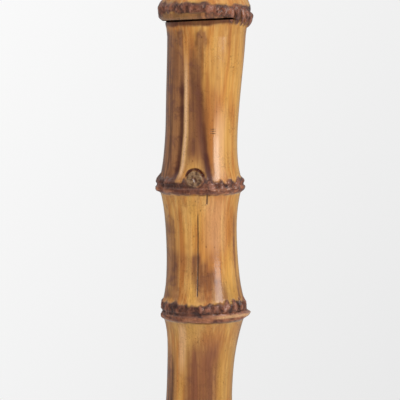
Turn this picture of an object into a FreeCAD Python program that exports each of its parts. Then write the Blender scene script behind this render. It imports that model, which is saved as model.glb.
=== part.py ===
"""Garden torch on a two-section bamboo pole, as separate solids in millimetres, +Z up.

The origin is on the pole's axis at ground level, where the ground spike's shaft meets its
step flange. From the ground up: a steel spike in a ferruled foot, a lower and an upper
culm section that pull apart at a blind dowel joint, a head of split bamboo woven with
weft bands, and a fuel canister with a wick burner and a flip-over snuffer. Cylindrical
fits between fixed pieces have FIT of clearance all round.
"""

import FreeCAD
import Part

import math
import os

FIT = 0.05  # radial clearance of a fixed fit
GAP = 0.1  # radial clearance of pieces that slide or turn in each other
STAND_OFF = 0.3  # gap between faces that part when a piece moves
FULL_TURN = 360

# Ground spike and foot
SPIKE_RADIUS = 6.0
SPIKE_SHAFT = 200.0
SPIKE_TIP = 40.0
SPIKE_TIP_RADIUS = 0.8
FLANGE_RADIUS = 15.5
FLANGE_THICK = 3.0
TANG_RADIUS = 4.0
TANG_LENGTH = 36.0
FERRULE_TOP = 32.0
FERRULE_WALL = 1.5
FOOT_RADIUS = 15.0  # the culm is turned down to this inside the ferrule
PLUG_RADIUS = 11.0
PLUG_TOP = 44.0
BRAD_COUNT = 3
BRAD_SHANK = 1.0
BRAD_HEAD = 2.2
BRAD_HEAD_THICK = 0.8
BRAD_DEPTH = 4.2

# Culm: the joint's height, then the internodes away from it
JOINT_Z = 600.0
FIRST_INTERNODE = 82.0
SECOND_INTERNODE = 62.4
INTERNODE_SHRINK = 0.95  # each internode below the second, next to the one above it
LOWEST_NODE = 60.0  # no more nodes are set out below this height
UPPER_INTERNODES = (95.0, 102.0, 108.0, 112.0)  # from the joint up
LOWER_WAIST = 18.0  # radius at the middle of the internodes next to the joint
LOWER_WAIST_ROOT = 16.6  # and of every internode below those two
UPPER_WAIST = 18.2
UPPER_TAPER = 0.22  # each waist above the joint is this much thinner
RING_OVER_WAIST = 3.7  # how far a node's ring stands out of the waist
SHOULDER_UNDER_RING = 1.6
RING_HALF_HEIGHT = 5.2
FLARE_REACH = 17.0  # height over which an internode widens into its node
SEAM = 0.6  # gap that shows at the joint
JOINT_RING_RADIUS = 22.6
JOINT_RING_HEIGHT = 10.0
JOINT_RIM_RADIUS = 21.4  # top edge of the lower section
JOINT_RIM_HEIGHT = 4.0
JOINT_FLARE_REACH = 44.0
BUMP_COUNT = 20  # root bumps round a node of the lower section
BUMP_RADIUS = 2.4
BUMP_SINK = 1.3  # how far inside the crest the bumps' centres are
BUMP_RISE = 2.0
CHAMBER_RADIUS = 9.5
CHAMBER_END = 6.0  # thickness of a diaphragm each side of its node
VENT_RADIUS = 3.0  # hole pierced through every diaphragm before drying
DIAPHRAGM_TOP = 1100.0  # the culm is solid above this

# Branch cut off flush at the node below the joint, and the grooved wall above it
BRANCH_RADIUS = 4.2
BRANCH_RISE = 4.2  # height of its centre over the node
BRANCH_AZIMUTH = -98.4
BRANCH_REACH = 21.8
GROOVE_SPREAD = 13.0  # degrees from the branch to the groove on each side of its ridge
GROOVE_RADIUS = 4.0
GROOVE_DEPTH = 0.9
GROOVE_FADE = 2.2  # how far the groove's cutter leaves the wall at its top
GROOVE_BELOW_JOINT = 22.0

# Blind dowel at the joint
DOWEL_RADIUS = 9.0
DOWEL_LOW = 64.0
DOWEL_HIGH = 60.0
DOWEL_CHAMFER = 1.0

# Woven head
SHAFT_RADIUS = 17.4  # the culm's top is shaved to this for the splints
SHAFT_START = 1026.0
POLE_TOP = 1146.0
SPLINT_COUNT = 16
SPLINT_THICK = 1.8
SPLINT_FOOT_Z = 1034.0
SPLINT_FOOT_WIDTH = 4.0
SPLINT_TOP_WIDTH = 8.4
SPLINT_UPRIGHT = 36.0
FLARE_ANGLE = 14.0
FLARE_BEND = 80.0
FLARE_LENGTH = 62.0
MOUTH_ANGLE = 5.0
MOUTH_BEND = 120.0
MOUTH_LENGTH = 116.0
WEFT_HEIGHT = 7.0
WEFT_PITCH = 8.5
WEFT_THICK = 1.0
WEFT_SWING = 2.5  # how far a weft passes in front of or behind the splints' middle
WEFT_LAP = 0.35  # flat of the weft past each edge of a splint
LOWER_WEFTS = 6
LOWER_WEFT_Z = 1094.0
UPPER_WEFTS = 3
UPPER_WEFT_Z = 1238.0
HOOP_LOW = 1267.0
HOOP_HIGH = 1281.0
HOOP_THICK = 1.6
HOOP_PLAY = 0.8  # room for the splints' slope inside the hoops
RIM_BRAD_RADIUS = 0.8
RIM_BRAD_HEAD = 1.7
BINDING_LOW = 1036.0
BINDING_HIGH = 1070.0
BINDING_INNER = 19.8
BINDING_THICK = 3.0
SEAT_RADIUS = 33.6
SEAT_THICK = 8.0
SCREW_RADIUS = 2.0
SCREW_HEAD = 4.2
SCREW_HEAD_HEIGHT = 3.0
SCREW_LENGTH = 35.0

# Canister
SHEET = 0.8
CAN_RADIUS = 34.5
CAN_WALL = 0.6
CAN_BOTTOM = POLE_TOP + SEAT_THICK + STAND_OFF
SEAM_OVER = 0.8  # how far a rolled seam stands out of the wall
SEAM_DEEP = 3.0
CAN_HEIGHT = 95.0
LID_RISE = 5.5
NECK_BORE = 13.2
NECK_RADIUS = 14.6
NECK_THREAD = 15.6
NECK_FLANGE = 17.3
NECK_HEIGHT = 11.6

# Burner
COLLAR_RADIUS = 18.6
COLLAR_LIP = 13.0
COLLAR_LIP_THICK = 1.6
COLLAR_FLUTES = 24
FLUTE_RADIUS = 1.1
GASKET_THICK = 1.1
GASKET_BORE = 11.5
PLATE_THICK = 1.1
TUBE_RADIUS = 5.5
TUBE_WALL = 0.5
TUBE_BELOW = 28.0
TUBE_ABOVE = 34.0
TUBE_BEAD = 8.0
TUBE_BEAD_THICK = 0.9
WICK_RADIUS = 4.7
WICK_STANDS_OUT = 6.0
WICK_LENGTH = 142.0

# Snuffer, hinged beside the tube
HINGE_REACH = 14.0
HINGE_UNDER_TUBE_TOP = 4.0
PIN_RADIUS = 1.0
PIN_HEAD = 1.7
PIN_HEAD_THICK = 0.8
EAR_THICK = 1.2
EAR_ROUND = 2.6
CLIP_HEIGHT = 6.0
CLIP_WALL = 1.4
LUG_HALF_WIDTH = 2.8
KNUCKLE_RADIUS = 2.2
STRAP_THICK = 1.0
STRAP_BEND = 2.0
STRAP_PAST_CENTRE = 4.0
CUP_BORE = 10.5
CUP_WALL = 0.8
CUP_HEIGHT = 23.0
RIVET_RADIUS = 1.45
RIVET_HEAD = 2.8
RIVET_HEAD_THICK = 1.1

Vector = FreeCAD.Vector
ORIGIN = Vector(0, 0, 0)
X_AXIS = Vector(1, 0, 0)
Y_AXIS = Vector(0, 1, 0)
Z_AXIS = Vector(0, 0, 1)


def face_of(points):
    """Flat face in the XZ plane from its corners, as (x, z) pairs."""
    corners = [Vector(x, 0, z) for x, z in points]
    return Part.Face(Part.makePolygon(corners + corners[:1]))


def turned(points):
    """Solid turned about the Z axis from a closed outline of (radius, height) pairs."""
    return face_of(points).revolve(ORIGIN, Z_AXIS, FULL_TURN)


def ring(inner, outer, low, high):
    """Plain ring about the Z axis."""
    return turned([(inner, low), (outer, low), (outer, high), (inner, high)])


def rod(radius, start, end):
    """Round bar between two points."""
    way = end - start
    return Part.makeCylinder(radius, way.Length, start, way)


def around(shape, degrees):
    """Copy of a shape turned about the Z axis."""
    copy = shape.copy()
    copy.rotate(ORIGIN, Z_AXIS, degrees)
    return copy


def evenly(shape, count, start=0.0):
    """Copies of a shape spread evenly about the Z axis."""
    return [around(shape, start + FULL_TURN * i / count) for i in range(count)]


def strip(start, heading, steps, thick):
    """Face of a bent strip in the XZ plane. Heading is in degrees from +Z towards +X.

    Each step is (length,) for a straight run or (radius, turn) for a bend, where a
    positive turn leans the strip further towards +X.
    """
    here = Vector(start[0], 0, start[1])
    lean = math.radians(heading)
    sides = {-1: [], 1: []}
    for step in steps:
        along = Vector(math.sin(lean), 0, math.cos(lean))
        out = Vector(math.cos(lean), 0, -math.sin(lean))
        if len(step) == 1:
            there = here + along * step[0]
            for side, edges in sides.items():
                shift = out * (side * thick / 2)
                edges.append(Part.LineSegment(here + shift, there + shift))
        else:
            turn = math.radians(step[1])
            sign = math.copysign(1, turn)
            centre = here + out * (sign * step[0])
            stops = [lean, lean + turn / 2, lean + turn]
            outs = [Vector(math.cos(a), 0, -math.sin(a)) for a in stops]
            for side, edges in sides.items():
                reach = sign * step[0] - side * thick / 2
                edges.append(Part.Arc(*[centre - o * reach for o in outs]))
            lean += turn
            there = centre - outs[-1] * (sign * step[0])
        here = there
    left = [edge.toShape() for edge in sides[-1]]
    right = [edge.toShape() for edge in sides[1]]
    ends = [
        Part.makeLine(left[0].firstVertex().Point, right[0].firstVertex().Point),
        Part.makeLine(left[-1].lastVertex().Point, right[-1].lastVertex().Point),
    ]
    return Part.Face(Part.Wire(Part.__sortEdges__(left + right + ends)))


def widened(face, width):
    """Solid of a face in the XZ plane, given a width that is centred on that plane."""
    solid = face.extrude(Y_AXIS * width)
    solid.translate(Y_AXIS * (-width / 2))
    return solid


# ---- Culm -------------------------------------------------------------------------


def lower_nodes():
    """Heights of the nodes below the joint, from the top down."""
    heights = [JOINT_Z - FIRST_INTERNODE]
    length = SECOND_INTERNODE
    while heights[-1] - length * INTERNODE_SHRINK > 0 and heights[-1] > LOWEST_NODE:
        heights.append(heights[-1] - length)
        length *= INTERNODE_SHRINK
    return heights


def upper_nodes():
    """Heights of the nodes above the joint, from the bottom up."""
    heights = []
    for length in UPPER_INTERNODES:
        heights.append((heights[-1] if heights else JOINT_Z) + length)
    return heights


def outline(path):
    """Face in the XZ plane whose edge runs through path and closes on its start.

    Each entry is a corner, or the middle and the end of an arc.
    """
    def at(point):
        return Vector(point[0], 0, point[1])

    edges = []
    here = path[0]
    for entry in path[1:]:
        if isinstance(entry[0], tuple):
            middle, there = entry
            edges.append(Part.Arc(at(here), at(middle), at(there)).toShape())
        else:
            there = entry
            edges.append(Part.makeLine(at(here), at(there)))
        here = there
    edges.append(Part.makeLine(at(here), at(path[0])))
    return Part.Face(Part.Wire(edges))


def flare_middle(waist, end):
    """Middle of the arc that leaves a waist point upright and ends at another point."""
    rise, out = end[1] - waist[1], end[0] - waist[0]
    radius = (rise**2 + out**2) / (2 * out)
    half = math.asin(abs(rise) / radius) / 2
    along = math.copysign(radius * math.sin(half), rise)
    return waist[0] + radius * (1 - math.cos(half)), waist[1] + along


def internode(low, high, waist, reaches):
    """Path from the end of one ring to the start of the next, by a straight waist.

    It starts at low, which is already in the path, and widens over each reach.
    """
    foot = (waist, low[1] + reaches[0])
    head = (waist, high[1] - reaches[1])
    return [(flare_middle(foot, low), foot), head, (flare_middle(head, high), high)]


def ring_ends(height, waist):
    """Low shoulder, crest and high shoulder of the ring at a node."""
    crest = waist + RING_OVER_WAIST
    shoulder = crest - SHOULDER_UNDER_RING
    return (
        (shoulder, height - RING_HALF_HEIGHT),
        (crest, height),
        (shoulder, height + RING_HALF_HEIGHT),
    )


def root_bumps(height, crest, start):
    """Row of root bumps round a node, on the upper side of its ring."""
    spot = Vector(crest - BUMP_SINK, 0, height + BUMP_RISE)
    return evenly(Part.makeSphere(BUMP_RADIUS, spot), BUMP_COUNT, start)


def bored(chambers):
    """Everything hollow in a culm: chambers of (low, high, radius), joined by vents."""
    outline = [(0, chambers[0][0])]
    for low, high, radius in chambers:
        outline += [(VENT_RADIUS, low), (radius, low), (radius, high), (VENT_RADIUS, high)]
    return turned(outline + [(0, chambers[-1][1])])


def lower_pole():
    nodes = lower_nodes()[::-1]
    waists = [LOWER_WAIST_ROOT] * (len(nodes) - 1) + [LOWER_WAIST, LOWER_WAIST]
    rings = [ring_ends(z, max(waists[i:i + 2])) for i, z in enumerate(nodes)]
    floor = FLANGE_THICK + FERRULE_WALL
    path = [(0, floor), (FOOT_RADIUS, floor), (FOOT_RADIUS, FERRULE_TOP)]
    path += [(waists[0], FERRULE_TOP), rings[0][0]]
    reach = FLARE_REACH - RING_HALF_HEIGHT
    for i, (_, crest, high) in enumerate(rings):
        path.append((crest, high))
        if high is not rings[-1][2]:
            path += internode(high, rings[i + 1][0], waists[i + 1], (reach, reach))
    rim = (JOINT_RIM_RADIUS, JOINT_Z - JOINT_RIM_HEIGHT)
    path += internode(rings[-1][2], rim, waists[-1], (reach, JOINT_FLARE_REACH))
    path += [(JOINT_RIM_RADIUS, JOINT_Z), (0, JOINT_Z)]
    body = outline(path).revolve(ORIGIN, Z_AXIS, FULL_TURN)
    hollows = [(floor, PLUG_TOP, PLUG_RADIUS + FIT)]
    for low, high in zip(nodes, nodes[1:]):
        hollows.append((low + CHAMBER_END, high - CHAMBER_END, CHAMBER_RADIUS))
    hollows.append((JOINT_Z - DOWEL_LOW - CHAMBER_END, JOINT_Z, DOWEL_RADIUS + GAP))
    bumps = []
    for i, (_, crest, _) in enumerate(rings):
        bumps += root_bumps(crest[1], crest[0], i * FULL_TURN / BUMP_COUNT / 2)
    body = body.fuse([branch(nodes[-1]), *bumps])
    return body.cut([bored(hollows), brad_holes(), *grooves(nodes[-1])])


def branch(node):
    """Stub of the branch, level with the crest of its node's ring."""
    height = node + BRANCH_RISE
    start = Vector(CHAMBER_RADIUS + VENT_RADIUS, 0, height)
    return around(rod(BRANCH_RADIUS, start, Vector(BRANCH_REACH, 0, height)), BRANCH_AZIMUTH)


def grooves(node):
    """Cutters of the two grooves that run up the wall from the branch and fade out."""
    low, high = node + BRANCH_RISE + BRANCH_RADIUS, JOINT_Z - GROOVE_BELOW_JOINT
    out = LOWER_WAIST + GROOVE_RADIUS - GROOVE_DEPTH
    cutter = rod(GROOVE_RADIUS, Vector(out, 0, low), Vector(out + GROOVE_FADE, 0, high))
    return [around(cutter, BRANCH_AZIMUTH + side * GROOVE_SPREAD) for side in (-1, 1)]


def upper_pole():
    nodes = upper_nodes()
    waists = [UPPER_WAIST - UPPER_TAPER * i for i in range(len(nodes))]
    rings = [ring_ends(z, waist) for z, waist in zip(nodes, waists)]
    foot, rim = JOINT_Z + SEAM, JOINT_Z + JOINT_RING_HEIGHT
    crest = (JOINT_RING_RADIUS, (foot + rim) / 2)
    here = (JOINT_RIM_RADIUS, rim)
    path = [(0, foot), (JOINT_RIM_RADIUS, foot), (crest, here)]
    reach = FLARE_REACH - RING_HALF_HEIGHT
    for (low, middle, high), waist in zip(rings, waists):
        path += internode(here, low, waist, (reach, reach))
        path.append((middle, high))
        here = high
    path += [(SHAFT_RADIUS, SHAFT_START), (SHAFT_RADIUS, POLE_TOP), (0, POLE_TOP)]
    body = outline(path).revolve(ORIGIN, Z_AXIS, FULL_TURN)
    hollows = [(foot, JOINT_Z + DOWEL_HIGH + CHAMBER_END, DOWEL_RADIUS + FIT)]
    for low, high in zip(nodes, nodes[1:] + [DIAPHRAGM_TOP + CHAMBER_END]):
        hollows.append((low + CHAMBER_END, high - CHAMBER_END, CHAMBER_RADIUS))
    screw_end = POLE_TOP + SEAT_THICK - SCREW_LENGTH - GAP
    pilot = rod(SCREW_RADIUS + FIT, Z_AXIS * screw_end, Z_AXIS * POLE_TOP)
    body = body.fuse(root_bumps(crest[1], crest[0], 0))
    return body.cut([bored(hollows), pilot])


def joint_dowel():
    low, high, c = JOINT_Z - DOWEL_LOW, JOINT_Z + DOWEL_HIGH, DOWEL_CHAMFER
    side = [(DOWEL_RADIUS - c, low), (DOWEL_RADIUS, low + c), (DOWEL_RADIUS, high - c)]
    return turned([(0, low), *side, (DOWEL_RADIUS - c, high), (0, high)])


# ---- Foot -------------------------------------------------------------------------


def ground_spike():
    return turned([
        (0, -SPIKE_SHAFT - SPIKE_TIP),
        (SPIKE_TIP_RADIUS, -SPIKE_SHAFT - SPIKE_TIP),
        (SPIKE_RADIUS, -SPIKE_SHAFT),
        (SPIKE_RADIUS, 0),
        (FLANGE_RADIUS, 0),
        (FLANGE_RADIUS, FLANGE_THICK),
        (TANG_RADIUS, FLANGE_THICK),
        (TANG_RADIUS, FLANGE_THICK + TANG_LENGTH),
        (0, FLANGE_THICK + TANG_LENGTH),
    ])


def foot_ferrule():
    inner = FOOT_RADIUS + FIT
    floor = FLANGE_THICK + FERRULE_WALL
    cup = turned([
        (TANG_RADIUS + FIT, FLANGE_THICK),
        (inner + FERRULE_WALL, FLANGE_THICK),
        (inner + FERRULE_WALL, FERRULE_TOP),
        (inner, FERRULE_TOP),
        (inner, floor),
        (TANG_RADIUS + FIT, floor),
    ])
    return cup.cut(brad_holes())


def foot_plug():
    return ring(TANG_RADIUS + FIT, PLUG_RADIUS, FLANGE_THICK + FERRULE_WALL, PLUG_TOP)


def brad_spots(radius):
    """Shanks of the ferrule's brads at this radius, and the heights of their middles."""
    height = (FLANGE_THICK + FERRULE_WALL + FERRULE_TOP) / 2
    outside = FOOT_RADIUS + FIT + FERRULE_WALL
    inside = outside - BRAD_DEPTH
    shank = rod(radius, Vector(inside, 0, height), Vector(outside, 0, height))
    return shank, outside, height


def brad_holes():
    shank = brad_spots(BRAD_SHANK + FIT)[0]
    return Part.makeCompound(evenly(shank, BRAD_COUNT))


def ferrule_brads():
    shank, outside, height = brad_spots(BRAD_SHANK)
    rise = Vector(BRAD_HEAD_THICK, 0, 0)
    head = rod(BRAD_HEAD, Vector(outside, 0, height), Vector(outside, 0, height) + rise)
    return Part.makeCompound(evenly(shank.fuse(head), BRAD_COUNT))


# ---- Woven head -------------------------------------------------------------------


def splint_path():
    """Start and steps of the line up the middle of a splint."""
    start = (SHAFT_RADIUS + 2 * GAP + SPLINT_THICK / 2, SPLINT_FOOT_Z)
    steps = [
        (SPLINT_UPRIGHT,),
        (FLARE_BEND, FLARE_ANGLE),
        (FLARE_LENGTH,),
        (MOUTH_BEND, MOUTH_ANGLE - FLARE_ANGLE),
        (MOUTH_LENGTH,),
    ]
    return start, steps


def splint_radius(height):
    """Distance of the splints' middle from the axis at a height on their straight runs."""
    flare, mouth = math.radians(FLARE_ANGLE), math.radians(MOUTH_ANGLE)
    (radius, z), _ = splint_path()
    z += SPLINT_UPRIGHT + FLARE_BEND * math.sin(flare)
    radius += FLARE_BEND * (1 - math.cos(flare))
    bend_z = z + FLARE_LENGTH * math.cos(flare)
    if height <= bend_z:
        return radius + (height - z) * math.tan(flare)
    radius += FLARE_LENGTH * math.sin(flare)
    radius += MOUTH_BEND * (math.cos(mouth) - math.cos(flare))
    bend_z += MOUTH_BEND * (math.sin(flare) - math.sin(mouth))
    return radius + (height - bend_z) * math.tan(mouth)


def splint_top():
    """Height that the splints taper to."""
    return HOOP_HIGH + RING_HALF_HEIGHT


def splint_width(height):
    share = (height - SPLINT_FOOT_Z) / (splint_top() - SPLINT_FOOT_Z)
    return SPLINT_FOOT_WIDTH + share * (SPLINT_TOP_WIDTH - SPLINT_FOOT_WIDTH)


def splint():
    """The splint at azimuth 0, tapered from its top to its foot and drilled for a brad."""
    start, steps = splint_path()
    slab = widened(strip(start, 0, steps, SPLINT_THICK), SPLINT_TOP_WIDTH + 1)
    low, high = SPLINT_FOOT_Z - 1, splint_top() + 1
    corners = [
        Vector(0, side * splint_width(z) / 2, z)
        for side, z in ((-1, low), (1, low), (1, high), (-1, high))
    ]
    wedge = Part.Face(Part.makePolygon(corners + corners[:1]))
    tapered = slab.common(wedge.extrude(X_AXIS * 2 * CAN_RADIUS))
    return tapered.cut(rim_brad_shank(RIM_BRAD_RADIUS + FIT))


def weft(low, swap):
    """Woven band in front of every other splint and behind the rest."""
    middle = splint_radius(low + WEFT_HEIGHT / 2)
    half = (splint_width(low + WEFT_HEIGHT) / 2 + WEFT_LAP) / middle
    loops = []
    for side in (-WEFT_THICK / 2, WEFT_THICK / 2):
        edges, ends = [], []
        for i in range(SPLINT_COUNT):
            radius = middle + side + WEFT_SWING * (-1) ** (i + swap)
            angle = 2 * math.pi * i / SPLINT_COUNT
            arc = [
                Vector(radius * math.cos(a), radius * math.sin(a), low)
                for a in (angle - half, angle, angle + half)
            ]
            edges.append(Part.Arc(*arc).toShape())
            ends.append((arc[0], arc[2]))
        for i, (_, last) in enumerate(ends):
            edges.append(Part.makeLine(last, ends[(i + 1) % SPLINT_COUNT][0]))
        wire = Part.Wire(Part.__sortEdges__(edges))
        loops.append(Part.Face(wire).extrude(Z_AXIS * WEFT_HEIGHT))
    return loops[1].cut(loops[0])


def hoop_radii():
    """Outer face of the inner hoop and inner face of the outer hoop."""
    middle = splint_radius((HOOP_LOW + HOOP_HIGH) / 2)
    return (
        middle - SPLINT_THICK / 2 - HOOP_PLAY,
        middle + SPLINT_THICK / 2 + HOOP_PLAY + 2 * GAP,
    )


def rim_brad_shank(radius):
    """Shank of the rim brad at azimuth 0, through both hoops and the splint between."""
    height = (HOOP_LOW + HOOP_HIGH) / 2
    inside, outside = hoop_radii()
    return rod(
        radius,
        Vector(inside - HOOP_THICK, 0, height),
        Vector(outside + HOOP_THICK, 0, height),
    )


def rim_hoop(inner):
    """Hoop drilled for the brads, turned so that its seam lies between two holes."""
    holes = evenly(rim_brad_shank(RIM_BRAD_RADIUS + FIT), SPLINT_COUNT)
    hoop = ring(inner, inner + HOOP_THICK, HOOP_LOW, HOOP_HIGH)
    return around(hoop, FULL_TURN / SPLINT_COUNT / 2).cut(holes)


def rim_brads():
    start = Vector(hoop_radii()[1] + HOOP_THICK, 0, (HOOP_LOW + HOOP_HIGH) / 2)
    head = rod(RIM_BRAD_HEAD, start, start + X_AXIS * BRAD_HEAD_THICK)
    brad = rim_brad_shank(RIM_BRAD_RADIUS).fuse(head)
    return Part.makeCompound(evenly(brad, SPLINT_COUNT))


def pole_binding():
    return ring(BINDING_INNER, BINDING_INNER + BINDING_THICK, BINDING_LOW, BINDING_HIGH)


def seat_screw_outline(play):
    """The countersunk screw's outline, or with play its hole in the seat disc."""
    top = POLE_TOP + SEAT_THICK
    return [
        (0, top),
        (SCREW_HEAD + play, top),
        (SCREW_RADIUS + play, top - SCREW_HEAD_HEIGHT),
        (SCREW_RADIUS + play, top - SCREW_LENGTH),
        (0, top - SCREW_LENGTH),
    ]


def seat_disc():
    disc = Part.makeCylinder(SEAT_RADIUS, SEAT_THICK, Z_AXIS * POLE_TOP)
    return disc.cut(turned(seat_screw_outline(FIT)))


# ---- Canister ---------------------------------------------------------------------

WALL_LOW = CAN_BOTTOM + SEAM_DEEP
WALL_HIGH = CAN_BOTTOM + CAN_HEIGHT - SEAM_DEEP
SEAM_INNER = CAN_RADIUS + FIT
SEAM_OUTER = CAN_RADIUS + SEAM_OVER
LID_TOP = WALL_HIGH + SHEET + LID_RISE
NECK_TOP = LID_TOP + NECK_HEIGHT


def canister_wall():
    return ring(CAN_RADIUS - CAN_WALL, CAN_RADIUS, WALL_LOW + FIT, WALL_HIGH - FIT)


def canister_base():
    """Dished base whose rolled seam wraps the foot of the wall and stands on the seat."""
    return turned([
        (0, WALL_LOW - SHEET),
        (CAN_RADIUS - 2 * SHEET, WALL_LOW - SHEET),
        (CAN_RADIUS - 2 * SHEET, CAN_BOTTOM),
        (SEAM_OUTER, CAN_BOTTOM),
        (SEAM_OUTER, WALL_LOW + SHEET),
        (SEAM_INNER, WALL_LOW + SHEET),
        (SEAM_INNER, WALL_LOW),
        (0, WALL_LOW),
    ])


def canister_lid():
    """Domed lid with a rolled seam round the wall and a hole for the neck."""
    hole, crown, well = NECK_RADIUS + FIT, NECK_FLANGE + SHEET, CAN_RADIUS - 5 * SHEET
    return turned([
        (SEAM_INNER, WALL_HIGH - 2 * SHEET),
        (SEAM_OUTER, WALL_HIGH - 2 * SHEET),
        (SEAM_OUTER, WALL_HIGH + SEAM_DEEP),
        (CAN_RADIUS - 2 * SHEET, WALL_HIGH + SEAM_DEEP),
        (CAN_RADIUS - 2 * SHEET, WALL_HIGH + SHEET),
        (well, WALL_HIGH + SHEET),
        (crown, LID_TOP),
        (hole, LID_TOP),
        (hole, LID_TOP - SHEET),
        (crown, LID_TOP - SHEET),
        (well, WALL_HIGH),
        (SEAM_INNER, WALL_HIGH),
    ])


def filler_neck():
    """Neck soldered in the lid. The thread is drawn plain, at its crest."""
    flange = LID_TOP + FIT + SHEET
    return turned([
        (NECK_BORE, LID_TOP - 4 * SHEET),
        (NECK_RADIUS, LID_TOP - 4 * SHEET),
        (NECK_RADIUS, LID_TOP + FIT),
        (NECK_FLANGE, LID_TOP + FIT),
        (NECK_FLANGE, flange),
        (NECK_RADIUS, flange),
        (NECK_RADIUS, flange + 0.8),
        (NECK_THREAD, flange + 1.6),
        (NECK_THREAD, NECK_TOP - 1.2),
        (NECK_RADIUS, NECK_TOP - 0.4),
        (NECK_RADIUS, NECK_TOP),
        (NECK_BORE, NECK_TOP),
    ])


# ---- Burner -----------------------------------------------------------------------

GASKET_LOW = NECK_TOP + STAND_OFF
PLATE_LOW = GASKET_LOW + GASKET_THICK + FIT
PLATE_TOP = PLATE_LOW + PLATE_THICK
TUBE_TOP = PLATE_TOP + TUBE_ABOVE
HINGE_Z = TUBE_TOP - HINGE_UNDER_TUBE_TOP
PLATE_RADIUS = NECK_THREAD - 2 * FIT
TUBE_BORE = TUBE_RADIUS - TUBE_WALL


def cap_gasket():
    return ring(GASKET_BORE, PLATE_RADIUS, GASKET_LOW, PLATE_LOW - FIT)


def burner_plate():
    return ring(TUBE_RADIUS + FIT, PLATE_RADIUS, PLATE_LOW, PLATE_TOP)


def wick_tube():
    """Tube with a rolled bead that sits on the burner plate."""
    bead = PLATE_TOP + FIT
    return turned([
        (TUBE_BORE, PLATE_TOP - TUBE_BELOW),
        (TUBE_RADIUS, PLATE_TOP - TUBE_BELOW),
        (TUBE_RADIUS, bead),
        (TUBE_BEAD, bead),
        (TUBE_BEAD, bead + TUBE_BEAD_THICK),
        (TUBE_RADIUS, bead + TUBE_BEAD_THICK),
        (TUBE_RADIUS, TUBE_TOP),
        (TUBE_BORE, TUBE_TOP),
    ])


def screw_collar():
    """Fluted collar that runs on the neck and holds the burner plate under its lip."""
    inner = NECK_THREAD + 2 * GAP
    low, lip = LID_TOP + 2 * SHEET + GAP, PLATE_TOP + STAND_OFF
    top = lip + COLLAR_LIP_THICK
    collar = turned([
        (inner, low),
        (COLLAR_RADIUS, low),
        (COLLAR_RADIUS, top - 1),
        (COLLAR_RADIUS - 1, top),
        (COLLAR_LIP, top),
        (COLLAR_LIP, lip),
        (inner, lip),
    ])
    spot = Vector(COLLAR_RADIUS + FLUTE_RADIUS / 2, 0, low)
    flute = rod(FLUTE_RADIUS, spot, spot + Z_AXIS * (top - low))
    return collar.cut(evenly(flute, COLLAR_FLUTES))


def wick():
    top = TUBE_TOP + WICK_STANDS_OUT
    return rod(WICK_RADIUS, Z_AXIS * (top - WICK_LENGTH), Z_AXIS * top)


# ---- Snuffer ----------------------------------------------------------------------


def across(radius, half_width):
    """Round bar along Y on the hinge's axis."""
    start = Vector(HINGE_REACH, -half_width, HINGE_Z)
    return rod(radius, start, start + Y_AXIS * 2 * half_width)


def snuffer_bracket():
    """Clip round the tube with two ears that carry the hinge pin."""
    top = HINGE_Z - 2 * SHEET
    low = top - CLIP_HEIGHT
    clip_radius = TUBE_RADIUS + FIT + CLIP_WALL
    clip = ring(TUBE_RADIUS + FIT, clip_radius, low, top)
    root = TUBE_RADIUS + CLIP_WALL / 2
    arm = face_of([
        (root, low),
        (root, top),
        (HINGE_REACH, top),
        (HINGE_REACH, HINGE_Z - EAR_ROUND),
    ])
    inner = LUG_HALF_WIDTH + STAND_OFF
    outer = inner + EAR_THICK
    slot = Part.makeBox(
        4 * EAR_ROUND + root, 2 * inner, 3 * CLIP_HEIGHT, Vector(clip_radius, -inner, low - 1)
    )
    ears = widened(arm, 2 * outer).fuse(across(EAR_ROUND, outer)).cut(slot)
    ears = ears.cut(Part.makeCylinder(clip_radius - CLIP_WALL / 2, 4 * CLIP_HEIGHT, Z_AXIS * (low - 1)))
    return clip.fuse(ears).cut(across(PIN_RADIUS + FIT, outer + 1)).removeSplitter()


def hinge_pin():
    outer = LUG_HALF_WIDTH + STAND_OFF + EAR_THICK + FIT
    heads = across(PIN_HEAD, outer + PIN_HEAD_THICK).cut(across(PIN_HEAD + 1, outer))
    return across(PIN_RADIUS, outer).fuse(heads).removeSplitter()


def snuffer_strap():
    """Strap from the hinge's knuckle up the cup's side and over its top."""
    inside = CUP_BORE + CUP_WALL + FIT
    over = HINGE_Z + CUP_HEIGHT + FIT + STRAP_THICK / 2
    bend = STRAP_BEND
    steps = [
        (over - bend - HINGE_Z,),
        (bend, -90),
        (inside + STRAP_THICK / 2 - bend + STRAP_PAST_CENTRE,),
    ]
    line = strip((inside + STRAP_THICK / 2, HINGE_Z), 0, steps, STRAP_THICK)
    strap = widened(line, 2 * LUG_HALF_WIDTH).fuse(across(KNUCKLE_RADIUS, LUG_HALF_WIDTH))
    keep_off_cup = Part.makeCylinder(inside, CUP_HEIGHT, Z_AXIS * (HINGE_Z - KNUCKLE_RADIUS))
    strap = strap.cut(keep_off_cup).cut(across(PIN_RADIUS + GAP, LUG_HALF_WIDTH + 1))
    return strap.cut(rivet_shank(RIVET_RADIUS + FIT)).removeSplitter()


def rivet_shank(radius):
    top = HINGE_Z + CUP_HEIGHT + FIT + STRAP_THICK
    return rod(radius, Z_AXIS * (top - STRAP_THICK - 2 * CUP_WALL), Z_AXIS * (top + FIT))


def snuffer_cup():
    top, outer = HINGE_Z + CUP_HEIGHT, CUP_BORE + CUP_WALL
    cup = turned([
        (CUP_BORE, HINGE_Z),
        (outer, HINGE_Z),
        (outer, top - 2 * CUP_WALL),
        (outer - 2 * CUP_WALL, top),
        (0, top),
        (0, top - CUP_WALL),
        (CUP_BORE - CUP_WALL, top - CUP_WALL),
        (CUP_BORE, top - 2 * CUP_WALL),
    ])
    return cup.cut(rivet_shank(RIVET_RADIUS + FIT))


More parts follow.
